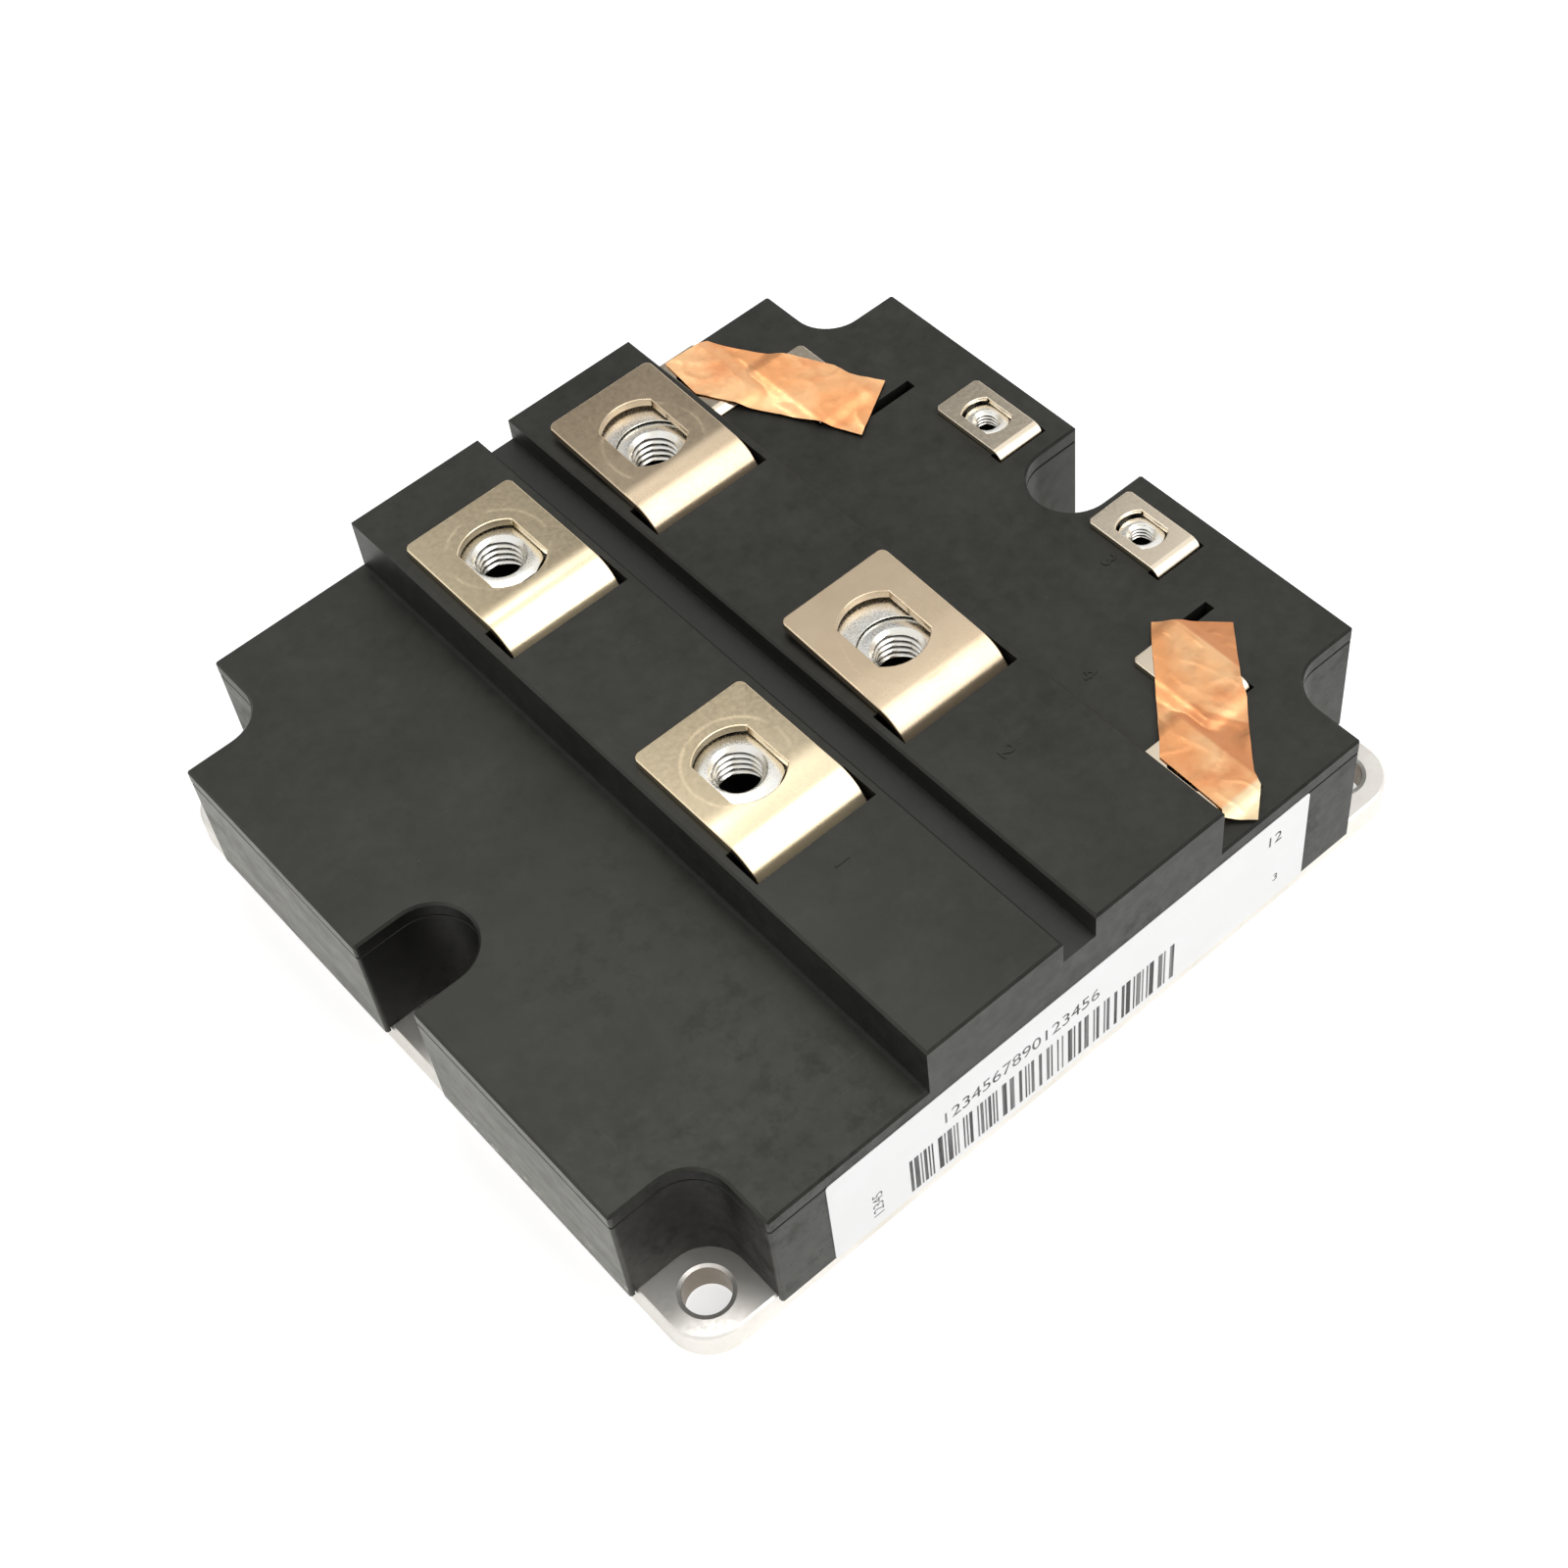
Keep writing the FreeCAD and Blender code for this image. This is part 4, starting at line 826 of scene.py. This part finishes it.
def add_world():
    """A plain soft studio, pale where the camera looks past the floor. What gloss shows of it is
    dimmer in one high direction and behind the module."""
    world = bpy.data.worlds.new("World")
    bpy.context.scene.world = world
    world.use_nodes = True
    tree = world.node_tree
    tree.nodes.clear()

    def node(kind, **links):
        """A node whose sockets are filled by name, or by number as i0, i1 and so on."""
        made = tree.nodes.new(kind)
        for name, value in links.items():
            by_number = name[1:].isdigit()
            socket = made.inputs[int(name[1:]) if by_number else name.replace("_", " ")]
            if isinstance(value, bpy.types.NodeSocket):
                tree.links.new(value, socket)
            else:
                socket.default_value = value
        return made

    path = node("ShaderNodeLightPath").outputs
    direction = node("ShaderNodeTexCoord").outputs["Generated"]
    towards = node("ShaderNodeVectorMath", i0=direction, i1=DIM_TOWARDS)
    towards.operation = "DOT_PRODUCT"
    gloss = node("ShaderNodeMapRange", Value=towards.outputs["Value"], From_Min=DIM_COSINES[0],
                 From_Max=DIM_COSINES[1], To_Min=GLOSS_LEVEL, To_Max=DIM_LEVEL)
    gloss.interpolation_type = "SMOOTHSTEP"
    axes = node("ShaderNodeSeparateXYZ", i0=direction).outputs
    behind = node("ShaderNodeMapRange", Value=axes["Y"], From_Min=BEHIND_RANGE[0],
                  From_Max=BEHIND_RANGE[1], To_Min=1.0, To_Max=BEHIND_LEVEL)
    gloss_level = node("ShaderNodeMath", i0=gloss.outputs[0], i1=behind.outputs[0])
    gloss_level.operation = "MULTIPLY"
    diffuse_or_gloss = node("ShaderNodeMix", Factor=path["Is Glossy Ray"], i2=WORLD_LIGHT,
                            i3=gloss_level.outputs[0])
    clear = node("ShaderNodeMath", i0=path["Is Camera Ray"], i1=path["Is Transmission Ray"])
    clear.operation = "MAXIMUM"
    level = node("ShaderNodeMix", Factor=clear.outputs[0], i2=diffuse_or_gloss.outputs[0], i3=1.0)
    background = node("ShaderNodeBackground", Strength=level.outputs[0])
    node("ShaderNodeOutputWorld", Surface=background.outputs[0])


FLOOR_HALF_SIDE, FLOOR_DROP = 3000.0, 0.2
GLOW_SEEN, GLOW_REFLECTED = 0.58, 0.42


def add_floor():
    """A white floor whose own glow, for what sees it directly, leaves only the soft shadow."""
    mesh = bpy.data.meshes.new("Floor")
    side = FLOOR_HALF_SIDE
    corners = [mm(-side, -side, 0), mm(side, -side, 0), mm(side, side, 0), mm(-side, side, 0)]
    mesh.from_pydata(corners, [], [(0, 1, 2, 3)])
    floor = bpy.data.objects.new("Floor", mesh)
    floor.location.z = -FLOOR_DROP * MM
    bpy.context.scene.collection.objects.link(floor)
    s = Shader("floor_white")
    path = s.tree.nodes.new("ShaderNodeLightPath").outputs
    glow = s.maths("ADD", s.product(path["Is Camera Ray"], GLOW_SEEN),
                   s.product(path["Is Glossy Ray"], GLOW_REFLECTED))
    s.set(Base_Color=(0.80, 0.80, 0.80, 1.0), Roughness=0.7, Emission_Color=(1.0, 1.0, 1.0, 1.0),
          Emission_Strength=glow)
    mesh.materials.append(s.material)


# The module, piece by piece

CASE_SHADE = 0.013
CASE_BEVEL, PLATE_BEVEL, TONGUE_BEVEL, SMALL_TONGUE_BEVEL, LABEL_BEVEL = 0.12, 0.25, 0.28, 0.18, 0.04
# Depth below a nut's top where its thread begins, and the radii where a root begins and is full
M8_THREAD_START, M8_ROOT = 0.95, (3.60, 3.85)
M4_THREAD_START, M4_ROOT = 0.65, (1.76, 1.9)


def dress_case():
    """The frame and the lid. Returns the lid's plastic for the moulded numbers."""
    for part in ("frame", "lid"):
        plastic = moulded_plastic(part + "_plastic", CASE_SHADE)
        dress("housing_" + part, plastic, bevel_mm=CASE_BEVEL)
    return plastic


def dress_plate():
    holes = [(x, y) for x in (-FIXING_HOLE_X, FIXING_HOLE_X)
             for y in (-FIXING_HOLE_Y, 0.0, FIXING_HOLE_Y)]
    nickel = plated_metal("base_metal", (0.93, 0.90, 0.85), (0.78, 0.73, 0.64), rough=(0.30, 0.42),
                          metallic=0.8, holes=holes)
    dress("base_plate", nickel, bevel_mm=PLATE_BEVEL)


def dress_terminals(nuts):
    """The tongues: the two on the right rib, 3 and 4, get a copy of the metal darkened as painted shade;
    the two on the left one keep the brighter metal.
    """
    tongues = [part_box("main_terminal_%d" % number) for number in range(1, 5)]
    bright = plated_metal("terminal_metal", (1.0, 0.84, 0.58), (0.95, 0.77, 0.50), rings=nuts,
                          tongues=tongues)
    # A darker copy of the same metal: painted shade for the tongues on the right rib.
    shaded_metal = plated_metal("terminal_metal_shaded", (0.72, 0.58, 0.41), (0.62, 0.48, 0.32), rings=nuts,
                        tongues=tongues)
    small = plated_metal("aux_terminal_metal", (1.0, 0.87, 0.69), (0.92, 0.79, 0.60))
    for number, metal in enumerate((bright, bright, shaded_metal, shaded_metal), start=1):
        dress("main_terminal_%d" % number, metal, bevel_mm=TONGUE_BEVEL)
    for number in range(1, 7):
        dress("aux_terminal_%d" % number, small, bevel_mm=SMALL_TONGUE_BEVEL)


def dress_nuts(nuts):
    """Threaded nuts, and a seat round each one under the lifted tongues of the right rib."""
    m8_top, m4_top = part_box("m8_nuts")[1].z / MM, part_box("m4_nuts")[1].z / MM
    zinc = zinc_steel("nut_steel", (
        (nuts, *M8_ROOT, m8_top - M8_THREAD_START),
        (node_islands(NODES["m4_nuts"]), *M4_ROOT, m4_top - M4_THREAD_START)))
    add_nuts(zinc)
    on_right_rib = [nut for nut in nuts if nut[0] > 0]
    for number, center in enumerate(on_right_rib, start=1):
        add_seat("nut_seat_%d" % number, center, zinc)


def dress_inside():
    """What the closed case hides."""
    ceramic = plain_surface("substrate_ceramic", (0.80, 0.80, 0.77), (0.70, 0.70, 0.66), 0.5)
    copper = plain_surface("copper", (0.78, 0.40, 0.24), (0.60, 0.28, 0.16), 0.35, metallic=1.0)
    silicon = plain_surface("silicon", (0.05, 0.05, 0.065), (0.03, 0.03, 0.04), 0.18)
    aluminium = plain_surface("bond_aluminium", (0.85, 0.85, 0.86), (0.74, 0.74, 0.76), 0.3,
                              metallic=1.0)
    laminate = plain_surface("board_laminate", (0.02, 0.11, 0.05), (0.015, 0.08, 0.035), 0.4)
    brass = plain_surface("pin_brass", (0.75, 0.58, 0.25), (0.60, 0.44, 0.18), 0.3, metallic=1.0)
    looks = (("ceramic", ceramic, "substrate_ceramic"), ("copper", copper, "copper"),
             ("igbt", silicon, "silicon"), ("diode", silicon, "silicon"),
             ("bond", aluminium, "bond_aluminium"), ("gate_board", laminate, "board_laminate"),
             ("gate_pins", brass, "pin_brass"), ("silicone_gel", clear_gel("gel"), "gel"))
    for name in NODES:
        for start, material, slot in looks:
            if name.startswith(start):
                dress(name, material)


def dress_label():
    dress("label", label_film("label_film"), bevel_mm=LABEL_BEVEL)
    add_label_print(printing_ink("printing_ink"))


def dress_foils():
    foil = copper_foil("foil_copper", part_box("aux_terminal_5"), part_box("aux_terminal_6"))
    add_foil("foil_strip_1", ("aux_terminal_1", "aux_terminal_2"), foil, seed=3.7)
    add_foil("foil_strip_2", ("aux_terminal_5", "aux_terminal_6"), foil, seed=11.3)


m8_places = node_islands(NODES["m8_nuts"])
lid_plastic = dress_case()
dress_plate()
dress_terminals(m8_places)
dress_nuts(m8_places)
dress_inside()
dress_label()
add_raised_marks(lid_plastic)
dress_foils()
add_floor()
add_world()
add_lamp("front_softbox", place=(0.34, -0.62, 0.75), aim=(0.0, 0.0, 0.03),
         width=0.62, height=1.20, power=4.4)
add_lamp("overhead_softbox", place=(0.11, 0.31, 0.96), aim=(-0.02, -0.02, 0.03),
         width=0.26, height=0.26, power=0.80)
add_camera()
bpy.context.scene.view_settings.view_transform = "Standard"
